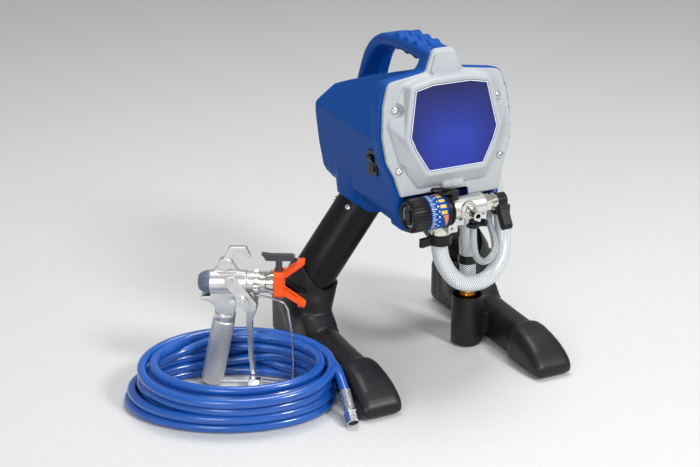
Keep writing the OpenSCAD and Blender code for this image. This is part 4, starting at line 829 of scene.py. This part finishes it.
# %% [markdown]
# The panel is edged by a thin pale printed line, 1.2 mm wide. It follows the panel's own outline,
# inset at each corner along the line that halves it, and leans back with the cover by 9 degrees.

# %% Name panel
ease_edges("name_panel", PANEL_FILM, 0.3)
LEANED = (Matrix.Translation(STAND + Vector((0, -85, 340)) * MM) @ Matrix.Rotation(math.radians(-9), 4, "X")
          @ Matrix.Translation(Vector((0, 85, -340)) * MM))
PANEL_HALF = [(28, 431.5), (55, 426), (67, 364), (60, 346), (42, 315)]
PANEL_FACE = -110 + 0.4


def line_around(outline, inset, width, y, thick=0.12):
    """A printed line inside a closed outline of (x, z)."""
    count = len(outline)
    rings = []
    for i, (x, z) in enumerate(outline):
        before, after = Vector(outline[i - 1]), Vector(outline[(i + 1) % count])
        here = Vector((x, z))
        u, v = (here - before).normalized(), (after - here).normalized()
        inward = (Vector((u.y, -u.x)) + Vector((v.y, -v.x)))
        inward = inward / (1 + u.dot(v))
        near, far = here + inward * inset, here + inward * (inset + width)
        corners = ((near, y), (far, y), (far, y - thick), (near, y - thick))
        rings.append([Vector((p.x, depth, p.y)) * MM for p, depth in corners])
    return skin("line", rings, loop=True, caps=False)


panel_outline = PANEL_HALF + [(-x, z) for x, z in reversed(PANEL_HALF)]
show("panel_edge_line", placed(line_around(panel_outline, 1.0, 1.2, PANEL_FACE), LEANED), PRINT_WHITE,
     "stand")
print("panel line round", len(panel_outline), "corners")

# %% [markdown]
# The gun's handle is a turned aluminium tube with a diamond knurl for grip: two sets of spiral
# cuts, 30 each way and steep, leave pyramids 3 by 7 mm. The radius follows the deeper of the two.

# %% Gun handle
ON_GUN = Matrix.Translation(GUN) @ Matrix.Rotation(GUN_TURN, 4, "Z")
ON_GRIP = ON_GUN @ Matrix.Translation(Vector((0, 0, 3.3)) * MM) @ Matrix.Rotation(math.radians(12), 4, "Y")
GRIP_L, KNURLS, KNURL_LEAD, KNURL_TIP_R, KNURL_DEEP = 111, 30, 200, 15.85, 0.95


def knurl(height, angle):
    """Depth of the diamond cuts, 0 on a pyramid's tip and 1 in a groove."""
    cuts = []
    for hand in (1, -1):
        run = (angle / (2 * math.pi) + hand * height / KNURL_LEAD) * KNURLS
        cuts.append(abs(run - round(run)) * 2)
    return max(cuts)


handle_rows = [(105, 9.1), (0.0, 9.1), (0.0, 12.6), (0.6, 13.6), (3, 14.3), (6.4, 15.1), (7, 14.9)]
handle_rows += [(7.2 + 0.42 * k, None) for k in range(216)]
handle_rows += [(98.3, 14.5), (98.8, 14.1), (99.6, 14.1), (100.2, 14.8), (GRIP_L - 0.6, 14.8), (GRIP_L, 14.2)]
SIDES = 240
handle = []
for h, radius in handle_rows:
    ring = []
    for a in (2 * math.pi * k / SIDES for k in range(SIDES)):
        r = radius or KNURL_TIP_R - KNURL_DEEP * knurl(h, a)
        ring.append(Vector((r * math.cos(a), r * math.sin(a), h)) * MM)
    handle.append(ring)
show("gun_handle_knurled", placed(skin("gun_handle_knurled", handle), ON_GRIP), CAST_ALUMINIUM, "stand",
     ["gun_handle"], sharp=50)
print("handle with", 2 * KNURLS, "spiral cuts")

# %% [markdown]
# The gun's body and trigger are tumbled castings. Its rear cap is a slate-blue plug with eight
# flats: a lathe outline whose radius runs along flats instead of a circle. Guard and tip are
# orange and grey acetal mouldings, with the small round edges of their moulds.

# %% Gun body, cap and tip
def eight_sided(radius, angle):
    off = (angle % (math.pi / 4)) - math.pi / 8
    return radius * 0.965 / math.cos(off)


cap_outline = [(3, 10), (3, 16.4), (1, 16.6), (-4.4, 15.4), (-9.8, 12.4), (-12.2, 10.2), (-13.3, 7.6),
               (-13.4, 1)]
cap = turned(cap_outline, 160, eight_sided)
BARREL = ON_GUN @ Matrix.Translation((0, 0, 156 * MM))
show("gun_rear_cap_faceted", placed(skin("gun_rear_cap_faceted", cap), BARREL), SOFT_CAP, "stand",
     ["gun_rear_cap"], sharp=12)
soften("gun_body", CAST_ALUMINIUM, 0.7, 4)
soften("gun_trigger", CAST_ALUMINIUM, 0.6, 4)
ease_edges("trigger_lock", ZINC_STEEL, 0.4)
ease_edges("retaining_nut", NICKEL_STEEL, 0.3)
soften("tip_guard", GUARD_ORANGE, 0.5, 4)
soften("spray_tip", TIP_GREY, 0.5, 3)
ease_edges("wire_guard", ZINC_STEEL, 0.1)
print("gun finished")

# %% [markdown]
# The set is a pale seamless floor, as for a catalogue. Backdrop paper is matt, and its fibres give
# a mottle about 8 mm across, too faint to notice but enough to keep the grey from looking flat.

# %% Floor
floor_mesh = bpy.data.meshes.new("floor")
floor_mesh.from_pydata([(-9, -9, 0), (9, -9, 0), (9, 9, 0), (-9, 9, 0)], [], [(0, 1, 2, 3)])
floor = bpy.data.objects.new("floor", floor_mesh)
bpy.context.scene.collection.objects.link(floor)
paper, paper_shader = new_material("pale_backdrop_paper", Roughness=0.8)
paper_place = add(paper, "ShaderNodeTexCoord")
paper_grain = add(paper, "ShaderNodeTexNoise", {"Vector": (paper_place, "Object"), "Scale": per_metre(8),
                                                "Detail": 2.0})
paper_tint = add(paper, "ShaderNodeValToRGB", {"Fac": (paper_grain, "Fac")},
                 stops=[(0.3, "#DADAD8"), (0.7, "#DEDEDC")])
feed(paper, paper_shader, "Base Color", paper_tint, "Color")
floor_mesh.materials.append(paper)
print("floor", [round(v) for v in floor.dimensions[:2]], "m across")

# %% [markdown]
# Three large soft lamps light it. The key stands to the front right and draws the long streaks on
# the hose, a fill at the front left opens the dark side, and a top lamp rounds the handle.

# %% Light
world = bpy.data.worlds.new("studio")
world.use_nodes = True
world.node_tree.nodes["Background"].inputs["Color"].default_value = shade("#F4F6F8")
world.node_tree.nodes["Background"].inputs["Strength"].default_value = 0.42
bpy.context.scene.world = world


AIM = Vector((0, 0, 0.2))


def lamp(name, at, size, watts):
    light = bpy.data.lights.new(name, "AREA")
    light.shape, light.size, light.energy = "DISK", size, watts
    holder = bpy.data.objects.new(name, light)
    bpy.context.scene.collection.objects.link(holder)
    holder.location = at
    holder.rotation_euler = (AIM - Vector(at)).to_track_quat("-Z", "Y").to_euler()


lamp("key_softbox", (0.7, -1.9, 1.8), 0.6, 36)
lamp("fill_softbox", (-1.7, -1.7, 1.2), 1.0, 17)
lamp("top_softbox", (0.3, 0.3, 2.2), 1.1, 24)
print(len(bpy.data.lights), "lamps")
